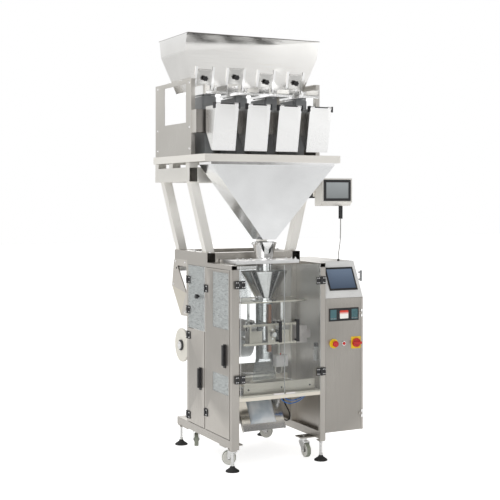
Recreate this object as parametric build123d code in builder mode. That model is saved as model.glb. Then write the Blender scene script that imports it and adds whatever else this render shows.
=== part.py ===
from build123d import *
import os
from math import atan2, cos, degrees, radians, sin, tan

# Vertical form fill sealer with a four-head linear weigher on a stand above it.
# Millimetres. The origin is on the floor at the middle of the four levelling feet,
# +X to the operator's right, +Y to the back, +Z up.

# ---- driving dimensions: main frame
HALF_WIDTH = 343.0          # frame's side faces at x = -343 and +343
FRONT = -440.0              # front face of the front posts
POST_REAR = 265.0           # rear face of the rear posts
RAIL_END = 438.0            # rear end of the base rails
FRAME_TOP = 1300.0
TOP_RAIL = 28.0             # height of the top rails
BASE_LOW = 145.0
BASE_HIGH = 195.0
POST_FOOT = 137.0           # lower end of the front posts
POST_WIDTH = 40.0
LEFT_POST_WIDTH = 55.0
POST_DEPTH = 25.0
MID_POST_FRONT = -46.0
MID_POST_REAR = -32.0
WALL = 2.0                  # wall of the frame tubes
WELD_GAP = 0.4

# ---- film forming
TUBE_Y = -225.0             # axis of the forming tube
TUBE_RADIUS = 55.0
TUBE_LOW = 670.0
CUP_LOW = 1335.0
CUP_HIGH = 1437.0
CUP_RADIUS = 82.5
SHELF_LOW = 1040.0
SHELF_HIGH = 1050.0
COLLAR_HIGH = 1245.0
FILM_WIDTH = 360.0

# ---- horizontal jaws
JAW_Z = 508.0
JAW_HALF_WIDTH = 130.0
JAW_OPENING = 50.0          # each jaw's distance from the film when open
ROD_X = 215.0
ROD_RADIUS = 12.0
ROD_Z = 500.0
BEAM_BACK = -6.0
YOKE_LEFT = -233.0
YOKE_RIGHT = 289.0

# ---- pull belts
PULLEY_RADIUS = 22.0
BELT = 4.0
BELT_FACE = 56.5            # belt's face, from the tube's axis
PULLEY_Z = 880.0
NOSE_Z = 780.0

# ---- control cabinet
CABINET_LEFT = 343.0
CABINET_RIGHT = 633.0
CABINET_REAR = 272.0
CABINET_LOW = 181.0
SLOPE_LOW = 1066.0
SLOPE_REAR = -323.0
SHEET = 2.0
DOOR_SEAM = 616.0

# ---- weigher stand and weigher
RING_FRONT = -85.0
RING_TUBE = 60.0
RING_HIGH = 1364.0
UPPER_LOW = 1833.0
UPPER_HIGH = 1928.0
TRAY_LOW = 1960.0
TRAY_HIGH = 2008.0
TRAY_HALF = 498.0
TRAY_FRONT = -373.0
TRAY_REAR = 500.0
HEAD_PITCH = 229.0
HEADS = [(-1.5 + number) * HEAD_PITCH for number in range(4)]
HOPPER_HIGH = 2808.0
HOPPER_BEND = 2690.0
HOPPER_LOW = 2440.0
HOPPER_HALF = 497.0
HOPPER_LOW_HALF = 408.0
HOPPER_FRONT = -90.0
HOPPER_REAR = 389.0
HOPPER_SLOPE = 13.7         # degrees of the front and rear walls from upright
GATE_LIFTS = [0.0, 18.0, -3.0, 0.0]

# ---- wheels and feet
CASTER_X = 255.0
WHEEL_RADIUS = 46.0
WHEEL_Z = 58.0
TRAIL = 35.0
FOOT_Y = 412.0
FOOT_X = 323.0

UPRIGHT = (Align.CENTER, Align.CENTER, Align.MIN)


# ---- helpers, each adds to the part being built
def block(x0, x1, y0, y1, z0, z1, mode=Mode.ADD):
    """A box from its lowest corner to its highest."""
    with Locations(((x0 + x1) / 2, (y0 + y1) / 2, (z0 + z1) / 2)):
        Box(x1 - x0, y1 - y0, z1 - z0, mode=mode)


def tube(x0, x1, y0, y1, z0, z1, along):
    """A rectangular tube, open at both ends."""
    block(x0, x1, y0, y1, z0, z1)
    dx = 0 if along == "x" else WALL
    dy = 0 if along == "y" else WALL
    dz = 0 if along == "z" else WALL
    block(x0 + dx, x1 - dx, y0 + dy, y1 - dy, z0 + dz, z1 - dz, Mode.SUBTRACT)


def case(x0, x1, y0, y1, z0, z1, wall=3.0):
    """A closed box with a hollow inside."""
    block(x0, x1, y0, y1, z0, z1)
    block(x0 + wall, x1 - wall, y0 + wall, y1 - wall, z0 + wall, z1 - wall, Mode.SUBTRACT)


def rod(start, end, radius, mode=Mode.ADD):
    """A round bar between two points."""
    direction = Vector(end) - Vector(start)
    with Locations(Plane(origin=start, z_dir=direction)):
        Cylinder(radius, direction.length, align=UPRIGHT, mode=mode)


def hexagon(x, y, z0, z1, radius):
    """A hexagon nut or bolt head on an upright axis."""
    with BuildSketch(Plane.XY.offset(z0)) as outline:
        with Locations((x, y)):
            RegularPolygon(radius, 6)
    extrude(outline.sketch, amount=z1 - z0)


def lever_bar(plane, x0, x1, y0, y1, z0, z1, mode=Mode.ADD):
    """A box in the coordinates of a plane."""
    with Locations(plane):
        block(x0, x1, y0, y1, z0, z1, mode)


def save(part, name):
    part.label = name
    export_step(part, f"parts/{name}.step")


os.makedirs("parts", exist_ok=True)


# ---- hinges: a fixed leaf with two knuckles and a pin, and a door leaf with one knuckle
HINGE_HALF = 25.0
KNUCKLE_HALF = 8.6
KNUCKLE_RADIUS = 6.0
PIN_RADIUS = 3.0
PIN_CLEARANCE = 0.06
LEAF_START = 7.5
LEAF_END = 34.0


def hinge_plane(x, y, z, towards_post):
    """Local +X runs from the pin towards the post."""
    return Plane(origin=(x, y, z), x_dir=towards_post, z_dir=(0, 0, 1))


def fixed_leaf(plane, outward, drop, leaf_end=LEAF_END):
    """The post's leaf. outward is +1 or -1 along local Y, drop is the post's depth below the pin."""
    low, high = sorted((-outward * drop, -outward * 2.0))
    web_low, web_high = sorted((-outward * 5.0, outward * 4.0))
    lever_bar(plane, LEAF_START, leaf_end, low, high, -HINGE_HALF, HINGE_HALF)
    for z0, z1 in ((-HINGE_HALF, -9.0), (9.0, HINGE_HALF)):
        lever_bar(plane, 0.0, LEAF_START + 1, web_low, web_high, z0, z1)
        with Locations(plane):
            with Locations((0, 0, z0)):
                Cylinder(KNUCKLE_RADIUS, z1 - z0, align=UPRIGHT)
    with Locations(plane):
        Cylinder(PIN_RADIUS, 2 * HINGE_HALF)


def door_leaf(plane, outward, thickness=5.0):
    """The door's leaf, its knuckle bored for the pin."""
    low, high = sorted((-outward * 6.0, -outward * (6.0 - thickness)))
    web_low, web_high = sorted((-outward * 6.0, outward * 4.0))
    lever_bar(plane, -LEAF_END, -LEAF_START, low, high, -HINGE_HALF, HINGE_HALF)
    lever_bar(plane, -LEAF_START - 1, 0.0, web_low, web_high, -KNUCKLE_HALF, KNUCKLE_HALF)
    with Locations(plane):
        Cylinder(KNUCKLE_RADIUS, 2 * KNUCKLE_HALF)
        Cylinder(PIN_RADIUS + PIN_CLEARANCE, 4 * KNUCKLE_HALF, mode=Mode.SUBTRACT)


FRONT_PIN_Y = FRONT - 18.0
LEFT_PIN_X = -288.0
RIGHT_PIN_X = 302.0
SIDE_PIN_X = -HALF_WIDTH - 8.0
SIDE_DOOR_X = -HALF_WIDTH - 2.0
TALL_PIN_Y = -49.0
REAR_PIN_Y = 237.0
CABINET_PIN_X = DOOR_SEAM + 1.5
CABINET_PIN_Y = FRONT - 6.0

left_hinges = [hinge_plane(LEFT_PIN_X, FRONT_PIN_Y, z, (-1, 0, 0)) for z in (1179.0, 581.0)]
right_hinges = [hinge_plane(RIGHT_PIN_X, FRONT_PIN_Y, z, (1, 0, 0)) for z in (1188.0, 591.0)]
tall_hinges = [hinge_plane(SIDE_PIN_X, TALL_PIN_Y, z, (0, 1, 0)) for z in (1130.0, 313.0)]
lower_hinges = [hinge_plane(SIDE_PIN_X, REAR_PIN_Y, z, (0, 1, 0)) for z in (790.0, 245.0)]
upper_hinges = [hinge_plane(SIDE_PIN_X, REAR_PIN_Y, z, (0, 1, 0)) for z in (1169.0, 964.0)]
cabinet_hinges = [hinge_plane(CABINET_PIN_X, CABINET_PIN_Y, z, (1, 0, 0)) for z in (960.0, 290.0)]


# ==== main frame ====
with BuildPart() as frame_posts:
    left = -HALF_WIDTH
    right = HALF_WIDTH
    post_top = FRAME_TOP - TOP_RAIL
    tube(left, left + LEFT_POST_WIDTH, FRONT, FRONT + POST_DEPTH, POST_FOOT, post_top, "z")
    tube(right - POST_WIDTH, right, FRONT, FRONT + POST_DEPTH, POST_FOOT, post_top, "z")
    tube(left, left + POST_WIDTH, MID_POST_FRONT, MID_POST_REAR, BASE_HIGH, post_top, "z")
    tube(right - POST_WIDTH, right, MID_POST_FRONT, MID_POST_REAR, BASE_HIGH, post_top, "z")
    tube(left, left + POST_WIDTH, POST_REAR - POST_DEPTH, POST_REAR, BASE_HIGH, post_top, "z")
    tube(right - POST_WIDTH, right, POST_REAR - POST_DEPTH, POST_REAR, BASE_HIGH, post_top, "z")
save(frame_posts.part, "frame_posts")

INNER = HALF_WIDTH - POST_WIDTH - WELD_GAP
CROSSBAR_LOW = 438.0
CROSSBAR_HIGH = 472.0
CASTER_PLATE_LOW = 137.0
CASTER_Y = {"front": -300.0, "rear": 308.0}
STEM_RADIUS = 8.0
with BuildPart() as frame_rails:
    for side in (-1, 1):
        low, high = sorted((side * HALF_WIDTH, side * (HALF_WIDTH - POST_WIDTH)))
        tube(low, high, FRONT + POST_DEPTH, RAIL_END, BASE_LOW, BASE_HIGH, "y")
        tube(low, high, FRONT, POST_REAR, FRAME_TOP - TOP_RAIL, FRAME_TOP, "y")
        for caster_y in CASTER_Y.values():
            low, high = sorted((side * HALF_WIDTH, side * (CASTER_X - 40)))
            block(low, high, caster_y - 42, caster_y + 42, CASTER_PLATE_LOW, BASE_LOW - WELD_GAP)
            rod((side * CASTER_X, caster_y, 100), (side * CASTER_X, caster_y, 180),
                STEM_RADIUS + PIN_CLEARANCE, Mode.SUBTRACT)
    for y0, y1 in ((POST_REAR - 40, POST_REAR), (RAIL_END - 40, RAIL_END)):
        tube(-INNER, INNER, y0, y1, BASE_LOW, BASE_HIGH, "x")
    for y0, y1 in ((-130, -95), (POST_REAR - POST_DEPTH, POST_REAR)):
        tube(-INNER, INNER, y0, y1, FRAME_TOP - TOP_RAIL, FRAME_TOP, "x")
    tube(-HALF_WIDTH + LEFT_POST_WIDTH + WELD_GAP, INNER, FRONT, FRONT + 30,
         CROSSBAR_LOW, CROSSBAR_HIGH, "x")
    # the jaw beam, with the two rod bearings and the closing cylinder
    block(-INNER, INNER, MID_POST_FRONT, BEAM_BACK, 440, 460 - WELD_GAP)
    for side in (-1, 1):
        block(side * ROD_X - 22, side * ROD_X + 22, MID_POST_FRONT, BEAM_BACK, 460, 530)
        rod((side * ROD_X, -50, ROD_Z), (side * ROD_X, 0, ROD_Z), ROD_RADIUS + PIN_CLEARANCE,
            Mode.SUBTRACT)
    block(-34, 34, -40, 50, 460, 534)
    rod((0, -41, ROD_Z), (0, 46, ROD_Z), 8.3, Mode.SUBTRACT)
save(frame_rails.part, "frame_rails")

# Fixed plates: the deck over the tube, the collar shelf with its beam, the back panel,
# the two film guide plates, the reel arms, the upper film bar and the dancer's shaft.
GUIDE_PLATE = 8.0
GUIDE_ROLLER = (450.0, 1235.0)
GUIDE_RADIUS = 25.0
JOURNAL = 8.0
UPPER_BAR = (252.0, 1235.0)
UPPER_BAR_RADIUS = 12.0
DANCER_PIVOT = (252.0, 1000.0)
DANCER_LENGTH = 100.0
DANCER_BAR_RADIUS = 15.0
REEL_Y = 385.0
REEL_Z = 700.0
REEL_SHAFT = 12.5
DECK_LOW = FRAME_TOP
DECK_HIGH = 1322.0
with BuildPart() as fixed_plates:
    block(-263, 197, -345, -95, DECK_LOW, DECK_HIGH)
    block(-196, 277, -290, -60, SHELF_LOW, SHELF_HIGH)
    block(-INNER, INNER, -60, MID_POST_REAR, 1030, SHELF_HIGH)
    rod((0, TUBE_Y, 1000), (0, TUBE_Y, 1400), TUBE_RADIUS + 2.5, Mode.SUBTRACT)
    block(-INNER, INNER, POST_REAR - 7, POST_REAR - 5, BASE_HIGH + 5, 560)
    for side in (-1, 1):
        inner = side * (HALF_WIDTH - GUIDE_PLATE)
        with BuildSketch(Plane.YZ.offset(min(inner, side * HALF_WIDTH))):
            with BuildLine():
                Polyline((POST_REAR, FRAME_TOP), (480, FRAME_TOP), (500, 1285), (535, 1106),
                         (372, 909), (POST_REAR, 913), close=True)
            make_face()
            with BuildLine(mode=Mode.PRIVATE) as window:
                FilletPolyline((277, 1253), (440, 1253), (277, 1066), radius=3, close=True)
            make_face(window.line, mode=Mode.SUBTRACT)
        extrude(amount=GUIDE_PLATE)
        rod((side * 300, *GUIDE_ROLLER), (side * 360, *GUIDE_ROLLER), JOURNAL + PIN_CLEARANCE,
            Mode.SUBTRACT)
        arm_low, arm_high = sorted((side * 308, side * 318))
        block(arm_low, arm_high, POST_REAR, REEL_Y + 25, REEL_Z - 30, REEL_Z + 30)
        rod((side * 300, REEL_Y, REEL_Z), (side * 330, REEL_Y, REEL_Z), REEL_SHAFT + PIN_CLEARANCE,
            Mode.SUBTRACT)
    rod((-INNER, *UPPER_BAR), (INNER, *UPPER_BAR), UPPER_BAR_RADIUS)
    rod((-INNER, *DANCER_PIVOT), (INNER, *DANCER_PIVOT), JOURNAL)
save(fixed_plates.part, "fixed_plates")

# ==== levelling feet ====
with BuildPart() as levelling_feet:
    for x in (-FOOT_X, FOOT_X):
        for y, underside in ((-FOOT_Y, POST_FOOT), (FOOT_Y, BASE_LOW)):
            plate_low = underside - 8
            with BuildSketch(Plane.XZ.offset(-y)):
                with BuildLine():
                    Polyline((x, 0), (x + 44, 0), (x + 44, 7), (x + 36, 12), (x + 17, 26),
                             (x + 14, 34), (x + 8, 34), (x + 8, plate_low), (x, plate_low),
                             close=True)
                make_face()
            revolve(axis=Axis((x, y, 0), (0, 0, 1)))
            hexagon(x, y, 38, 48, 14)
            hexagon(x, y, plate_low - 12, plate_low, 14)
            block(x - 20, x + 20, y - 22, y + 22, plate_low, underside)
save(levelling_feet.part, "levelling_feet")

# ==== casters: a swivelling fork and a wheel at each corner ====
caster_headings = {
    "front_left": (-1, CASTER_Y["front"], 153.0),
    "front_right": (1, CASTER_Y["front"], 270.0),
    "rear_left": (-1, CASTER_Y["rear"], 248.0),
    "rear_right": (1, CASTER_Y["rear"], 322.0),
}
CROWN_HIGH = 116.0
for corner, (side, caster_y, heading) in caster_headings.items():
    trail = Vector(cos(radians(heading)), sin(radians(heading)), 0)
    swivel = Vector(side * CASTER_X, caster_y, 0)
    axle = swivel + trail * TRAIL + Vector(0, 0, WHEEL_Z)
    across = trail.cross(Vector(0, 0, 1))
    with BuildPart() as caster_fork:
        with Locations((swivel.X, swivel.Y, CROWN_HIGH)):
            Cylinder(25, CASTER_PLATE_LOW - 0.5 - CROWN_HIGH, align=UPRIGHT)
            Cylinder(STEM_RADIUS, BASE_LOW + 5 - CROWN_HIGH, align=UPRIGHT)
        with BuildSketch(Plane(origin=swivel - across * 23, x_dir=trail, z_dir=across)):
            with BuildLine():
                Polyline((-22, CROWN_HIGH), (TRAIL + 8, CROWN_HIGH), (TRAIL + 11, WHEEL_Z - 8),
                         (TRAIL - 11, WHEEL_Z - 8), (-22, CROWN_HIGH - 14), close=True)
            make_face()
        extrude(amount=46)
        lever_bar(Plane(origin=swivel, x_dir=trail, z_dir=(0, 0, 1)),
                  -40, TRAIL + 60, -19, 19, 0, CROWN_HIGH - 5, Mode.SUBTRACT)
        rod(axle - across * 27, axle + across * 27, 5)
    save(caster_fork.part, f"caster_fork_{corner}")
    with BuildPart() as caster_wheel:
        rod(axle - across * 14, axle + across * 14, WHEEL_RADIUS)
        fillet(caster_wheel.edges().filter_by(GeomType.CIRCLE), 4)
        for end in (-1, 1):
            rod(axle + across * (end * 10), axle + across * (end * 15), 33, Mode.SUBTRACT)
            rod(axle + across * (end * 9), axle + across * (end * 17), 12)
        rod(axle - across * 20, axle + across * 20, 5 + PIN_CLEARANCE, Mode.SUBTRACT)
    save(caster_wheel.part, f"caster_wheel_{corner}")

# ==== fixed halves of the hinges, and the bolts ====
with BuildPart() as hinges_and_bolts:
    for plane in left_hinges:
        fixed_leaf(plane, 1, 18.0)
    for plane in right_hinges:
        fixed_leaf(plane, -1, 18.0)
    for plane in tall_hinges:
        fixed_leaf(plane, 1, 8.0, leaf_end=16.5)
    for plane in lower_hinges + upper_hinges:
        fixed_leaf(plane, 1, 8.0)
    for plane in cabinet_hinges:
        lever_bar(plane, 7, 13, 0, 6, -KNUCKLE_HALF, KNUCKLE_HALF)
        for z0, z1 in ((-HINGE_HALF, -9.0), (9.0, HINGE_HALF)):
            lever_bar(plane, 0, 13, 0, 6, z0, z1)
            with Locations(plane):
                with Locations((0, 0, z0)):
                    Cylinder(5, z1 - z0, align=UPRIGHT)
        with Locations(plane):
            Cylinder(PIN_RADIUS, 2 * HINGE_HALF)
    for x in (-245, -205, -150, 110, 150, 180):
        hexagon(x, -325, DECK_HIGH, DECK_HIGH + 9, 9)
        rod((x, -325, DECK_HIGH + 9), (x, -325, DECK_HIGH + 16), 5)
    for side in (-1, 1):
        for y in (RING_FRONT + 17, 60, 180):
            hexagon(side * 320, y, RING_HIGH, RING_HIGH + 8, 11)
save(hinges_and_bolts.part, "hinges_and_bolts")

# ==== front doors: clear sheets with a grip each ====
DOOR_LOW = 464.0
DOOR_HIGH = 1296.0
DOOR_FACE = FRONT - 12.0
DOOR_SHEET = 8.0
MEETING_X = 31.0


def grip(x, z0, z1):
    """A D-shaped pull handle on the front face."""
    for z in (z0 + 8, z1 - 8):
        rod((x, DOOR_FACE, z), (x, DOOR_FACE - 34, z), 7)
    with BuildSketch(Plane.XY.offset(z0)) as profile:
        with Locations((x, DOOR_FACE - 34)):
            RectangleRounded(20, 16, 5)
    extrude(profile.sketch, amount=z1 - z0)


with BuildPart() as front_left_door:
    block(-283, MEETING_X - 1, DOOR_FACE, DOOR_FACE + DOOR_SHEET, DOOR_LOW, DOOR_HIGH)
    grip(-19, 806, 940)
    block(-50, MEETING_X - 8, DOOR_FACE - 5, DOOR_FACE, 466, 476)
    for plane in left_hinges:
        door_leaf(plane, 1)
save(front_left_door.part, "front_left_door")

with BuildPart() as front_right_door:
    block(MEETING_X + 1, 297, DOOR_FACE, DOOR_FACE + DOOR_SHEET, DOOR_LOW, DOOR_HIGH)
    grip(109, 805, 946)
    block(MEETING_X + 8, 105, DOOR_FACE - 5, DOOR_FACE, 466, 476)
    for plane in right_hinges:
        door_leaf(plane, -1)
save(front_right_door.part, "front_right_door")

# ==== left side doors ====
PAN = 18.0                   # depth of a folded door pan
SKIN = 1.5
LEVER_HOLE = 8.3


def pan_door(y0, y1, z0, z1):
    """A folded sheet door, open on the inside."""
    block(SIDE_DOOR_X, SIDE_DOOR_X + PAN, y0, y1, z0, z1)
    block(SIDE_DOOR_X + SKIN, SIDE_DOOR_X + PAN + 1, y0 + SKIN, y1 - SKIN, z0 + SKIN, z1 - SKIN,
          Mode.SUBTRACT)


def lever_seat(y, z, x_inner):
    """The recessed plate and boss that a door lever turns in."""
    block(SIDE_DOOR_X - 5, SIDE_DOOR_X, y - 14, y + 14, z - 130, z + 20)
    rod((SIDE_DOOR_X, y, z), (x_inner, y, z), 14)
    rod((SIDE_DOOR_X - 10, y, z), (x_inner + 5, y, z), LEVER_HOLE, Mode.SUBTRACT)


def lever(y, z, cam_x):
    """A door lever hanging down, with its shaft and its cam."""
    block(SIDE_DOOR_X - 20, SIDE_DOOR_X - 7, y - 10, y + 10, z - 115, z + 14)
    rod((SIDE_DOOR_X - 7, y, z), (cam_x, y, z), 8)
    block(cam_x, cam_x + 4, y - 12, y + 12, z - 80, z + 12)


TALL_LEVER = (-345.0, 776.0)
LOWER_LEVER = (35.0, 575.0)
TALL_CAM_X = -286.5
LOWER_CAM_X = -301.5
TALL_FRONT = FRONT + POST_DEPTH + 3
TALL_REAR = MID_POST_FRONT - 3
with BuildPart() as side_tall_door:
    pan_door(TALL_FRONT, TALL_REAR, 200, 1269)
    for z0, z1 in ((891, 1250), (475, 598)):
        block(SIDE_DOOR_X - 1, SIDE_DOOR_X + 4, -398, -161, z0, z1, Mode.SUBTRACT)
        block(SIDE_DOOR_X + SKIN, SIDE_DOOR_X + SKIN + 4, -402, -157, z0 - 4, z1 + 4)
    lever_seat(*TALL_LEVER, SIDE_DOOR_X + PAN)
    for plane in tall_hinges:
        door_leaf(plane, 1)
save(side_tall_door.part, "side_tall_door")

with BuildPart() as side_lower_door:
    pan_door(MID_POST_REAR + 3, REAR_PIN_Y, 200, 839)
    lever_seat(*LOWER_LEVER, SIDE_DOOR_X + PAN)
    for plane in lower_hinges:
        door_leaf(plane, 1)
save(side_lower_door.part, "side_lower_door")

with BuildPart() as side_upper_door:
    block(SIDE_DOOR_X, SIDE_DOOR_X + DOOR_SHEET, MID_POST_REAR + 3, REAR_PIN_Y, 843, 1269)
    rod((SIDE_DOOR_X, 55, 1068), (SIDE_DOOR_X - 12, 55, 1068), 7)
    rod((SIDE_DOOR_X - 12, 55, 1068), (SIDE_DOOR_X - 28, 55, 1068), 15)
    for plane in upper_hinges:
        door_leaf(plane, 1)
save(side_upper_door.part, "side_upper_door")

with BuildPart() as tall_door_lever:
    lever(*TALL_LEVER, TALL_CAM_X)
save(tall_door_lever.part, "tall_door_lever")

with BuildPart() as lower_door_lever:
    lever(*LOWER_LEVER, LOWER_CAM_X)
save(lower_door_lever.part, "lower_door_lever")

# ==== forming tube with its cup, and the forming collar ====
with BuildPart() as forming_tube:
    with BuildSketch(Plane.XZ.offset(-TUBE_Y)):
        with BuildLine():
            Polyline((TUBE_RADIUS - 2, TUBE_LOW), (TUBE_RADIUS, TUBE_LOW),
                     (TUBE_RADIUS, DECK_HIGH), (80, DECK_HIGH), (80, DECK_HIGH + 6),
                     (TUBE_RADIUS, DECK_HIGH + 6), (TUBE_RADIUS, CUP_LOW),
                     (CUP_RADIUS, CUP_HIGH), (CUP_RADIUS - 2, CUP_HIGH),
                     (TUBE_RADIUS - 2, CUP_LOW), close=True)
        make_face()
    revolve(axis=Axis((0, TUBE_Y, 0), (0, 0, 1)))
    for side in (-1, 1):
        low, high = sorted((side * (CUP_RADIUS - 8), side * (CUP_RADIUS + 14)))
        block(low, high, TUBE_Y - 8, TUBE_Y + 8, CUP_HIGH - 16, CUP_HIGH - 4)
    rod((0, TUBE_Y, CUP_LOW), (0, TUBE_Y, CUP_HIGH), TUBE_RADIUS - 2, Mode.SUBTRACT)
save(forming_tube.part, "forming_tube")

COLLAR_HALF = (172.0, 102.0)
with BuildPart() as forming_collar:
    for inset, mode in ((0.0, Mode.ADD), (1.5, Mode.SUBTRACT)):
        with BuildSketch(Plane.XY.offset(SHELF_HIGH + 20)):
            with Locations((0, TUBE_Y)):
                Circle(TUBE_RADIUS + 6 - inset)
        with BuildSketch(Plane.XY.offset(COLLAR_HIGH)):
            with Locations((0, TUBE_Y)):
                Ellipse(COLLAR_HALF[0] - inset, COLLAR_HALF[1] - inset)
        loft(mode=mode)
    rod((0, TUBE_Y, SHELF_HIGH), (0, TUBE_Y, SHELF_HIGH + 20), TUBE_RADIUS + 6)
    rod((0, TUBE_Y, SHELF_HIGH), (0, TUBE_Y, SHELF_HIGH + 6), 88)
    rod((0, TUBE_Y, SHELF_HIGH - 1), (0, TUBE_Y, SHELF_HIGH + 21), TUBE_RADIUS + 4.5, Mode.SUBTRACT)
save(forming_collar.part, "forming_collar")

# ==== film: the web from the reel to the collar, the film tube, and a finished bag ====
FILM = 0.6
REEL_FILM_RADIUS = 115.0
WEB_FRONT = TUBE_Y + 82.0    # the web ends over the collar's rear lip
web_corners = [
    (REEL_Y + REEL_FILM_RADIUS + 1, REEL_Z),
    (GUIDE_ROLLER[0] + 26.5, GUIDE_ROLLER[1] + 26.5),
    (GUIDE_ROLLER[0] - 26.5, GUIDE_ROLLER[1] + 26.5),
    (DANCER_PIVOT[0] + DANCER_LENGTH + 16.5, DANCER_PIVOT[1] - 16.5),
    (DANCER_PIVOT[0] + DANCER_LENGTH - 16.5, DANCER_PIVOT[1] - 16.5),
    (UPPER_BAR[0] + 13.3, UPPER_BAR[1] + 13.3),
    (WEB_FRONT, COLLAR_HIGH + 6),
]
web_radii = [26.2, 26.2, 14.0, 14.0, 13.0]
SEAL_Z = 570.0               # where the film tube is pressed flat
FILM_RADIUS = TUBE_RADIUS + 0.8
CHUTE_TOP = (-150.0, 455.0)
CHUTE_FOOT = (-290.0, 210.0)
chute_plane = Plane(
    origin=(-25, (CHUTE_TOP[0] + CHUTE_FOOT[0]) / 2, (CHUTE_TOP[1] + CHUTE_FOOT[1]) / 2),
    x_dir=(1, 0, 0),
    z_dir=(0, -(CHUTE_TOP[1] - CHUTE_FOOT[1]), CHUTE_TOP[0] - CHUTE_FOOT[0]),
)
with BuildPart() as packaging_film:
    with BuildSketch(Plane.YZ.offset(-FILM_WIDTH / 2)):
        with BuildLine() as web_line:
            FilletPolyline(*web_corners, radius=web_radii)
        trace(web_line.line, line_width=FILM)
    extrude(amount=FILM_WIDTH)
    for radius, flat, mode in ((FILM_RADIUS, 1.0, Mode.ADD), (FILM_RADIUS - 0.5, 0.3, Mode.SUBTRACT)):
        with BuildSketch(Plane.XY.offset(SEAL_Z)):
            with Locations((0, TUBE_Y)):
                Ellipse(86.0 * radius / FILM_RADIUS, flat)
        with BuildSketch(Plane.XY.offset(TUBE_LOW)):
            with Locations((0, TUBE_Y)):
                Circle(radius)
        loft(mode=mode)
    rod((0, TUBE_Y, TUBE_LOW), (0, TUBE_Y, SHELF_LOW), FILM_RADIUS)
    rod((0, TUBE_Y, TUBE_LOW), (0, TUBE_Y, SHELF_LOW + 1), FILM_RADIUS - 0.5, Mode.SUBTRACT)
    block(-86, 86, TUBE_Y - 0.4, TUBE_Y + 0.4, JAW_Z + 1.5, SEAL_Z)
    with BuildSketch(Plane(chute_plane.from_local_coords((0, -95, 0)), chute_plane.x_dir,
                           chute_plane.y_dir)):
        with BuildLine():
            ThreePointArc((-95, -3), (0, -32), (95, -3))
            Line((95, -3), (-95, -3))
        make_face()
    extrude(amount=190)
save(packaging_film.part, "packaging_film")

# ==== film reel: roll on its core, two end discs, shaft and chucks ====
with BuildPart() as film_reel:
    rod((-180, REEL_Y, REEL_Z), (180, REEL_Y, REEL_Z), REEL_FILM_RADIUS)
    rod((-290, REEL_Y, REEL_Z), (290, REEL_Y, REEL_Z), 42)
    rod((-352, REEL_Y, REEL_Z), (352, REEL_Y, REEL_Z), REEL_SHAFT)
    for side in (-1, 1):
        rod((side * 322, REEL_Y, REEL_Z), (side * 334, REEL_Y, REEL_Z), 117)
        rod((side * 334, REEL_Y, REEL_Z), (side * 344, REEL_Y, REEL_Z), 37)
        rod((side * 344, REEL_Y, REEL_Z), (side * 350, REEL_Y, REEL_Z), 28)
save(film_reel.part, "film_reel")

with BuildPart() as guide_roller:
    rod((-332, *GUIDE_ROLLER), (332, *GUIDE_ROLLER), GUIDE_RADIUS)
    rod((-342, *GUIDE_ROLLER), (342, *GUIDE_ROLLER), JOURNAL)
save(guide_roller.part, "guide_roller")

DANCER_BAR = (DANCER_PIVOT[0] + DANCER_LENGTH, DANCER_PIVOT[1])
with BuildPart() as dancer_arm:
    for side in (-1, 1):
        low, high = sorted((side * 262, side * 270))
        rod((side * 252, *DANCER_PIVOT), (side * 280, *DANCER_PIVOT), 16)
        rod((low, *DANCER_BAR), (high, *DANCER_BAR), 16)
        block(low, high, DANCER_PIVOT[0], DANCER_BAR[0], DANCER_PIVOT[1] - 10, DANCER_PIVOT[1] + 10)
    rod((-262, *DANCER_BAR), (262, *DANCER_BAR), DANCER_BAR_RADIUS)
    rod((-300, *DANCER_PIVOT), (300, *DANCER_PIVOT), JOURNAL + PIN_CLEARANCE, Mode.SUBTRACT)
save(dancer_arm.part, "dancer_arm")

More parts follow.
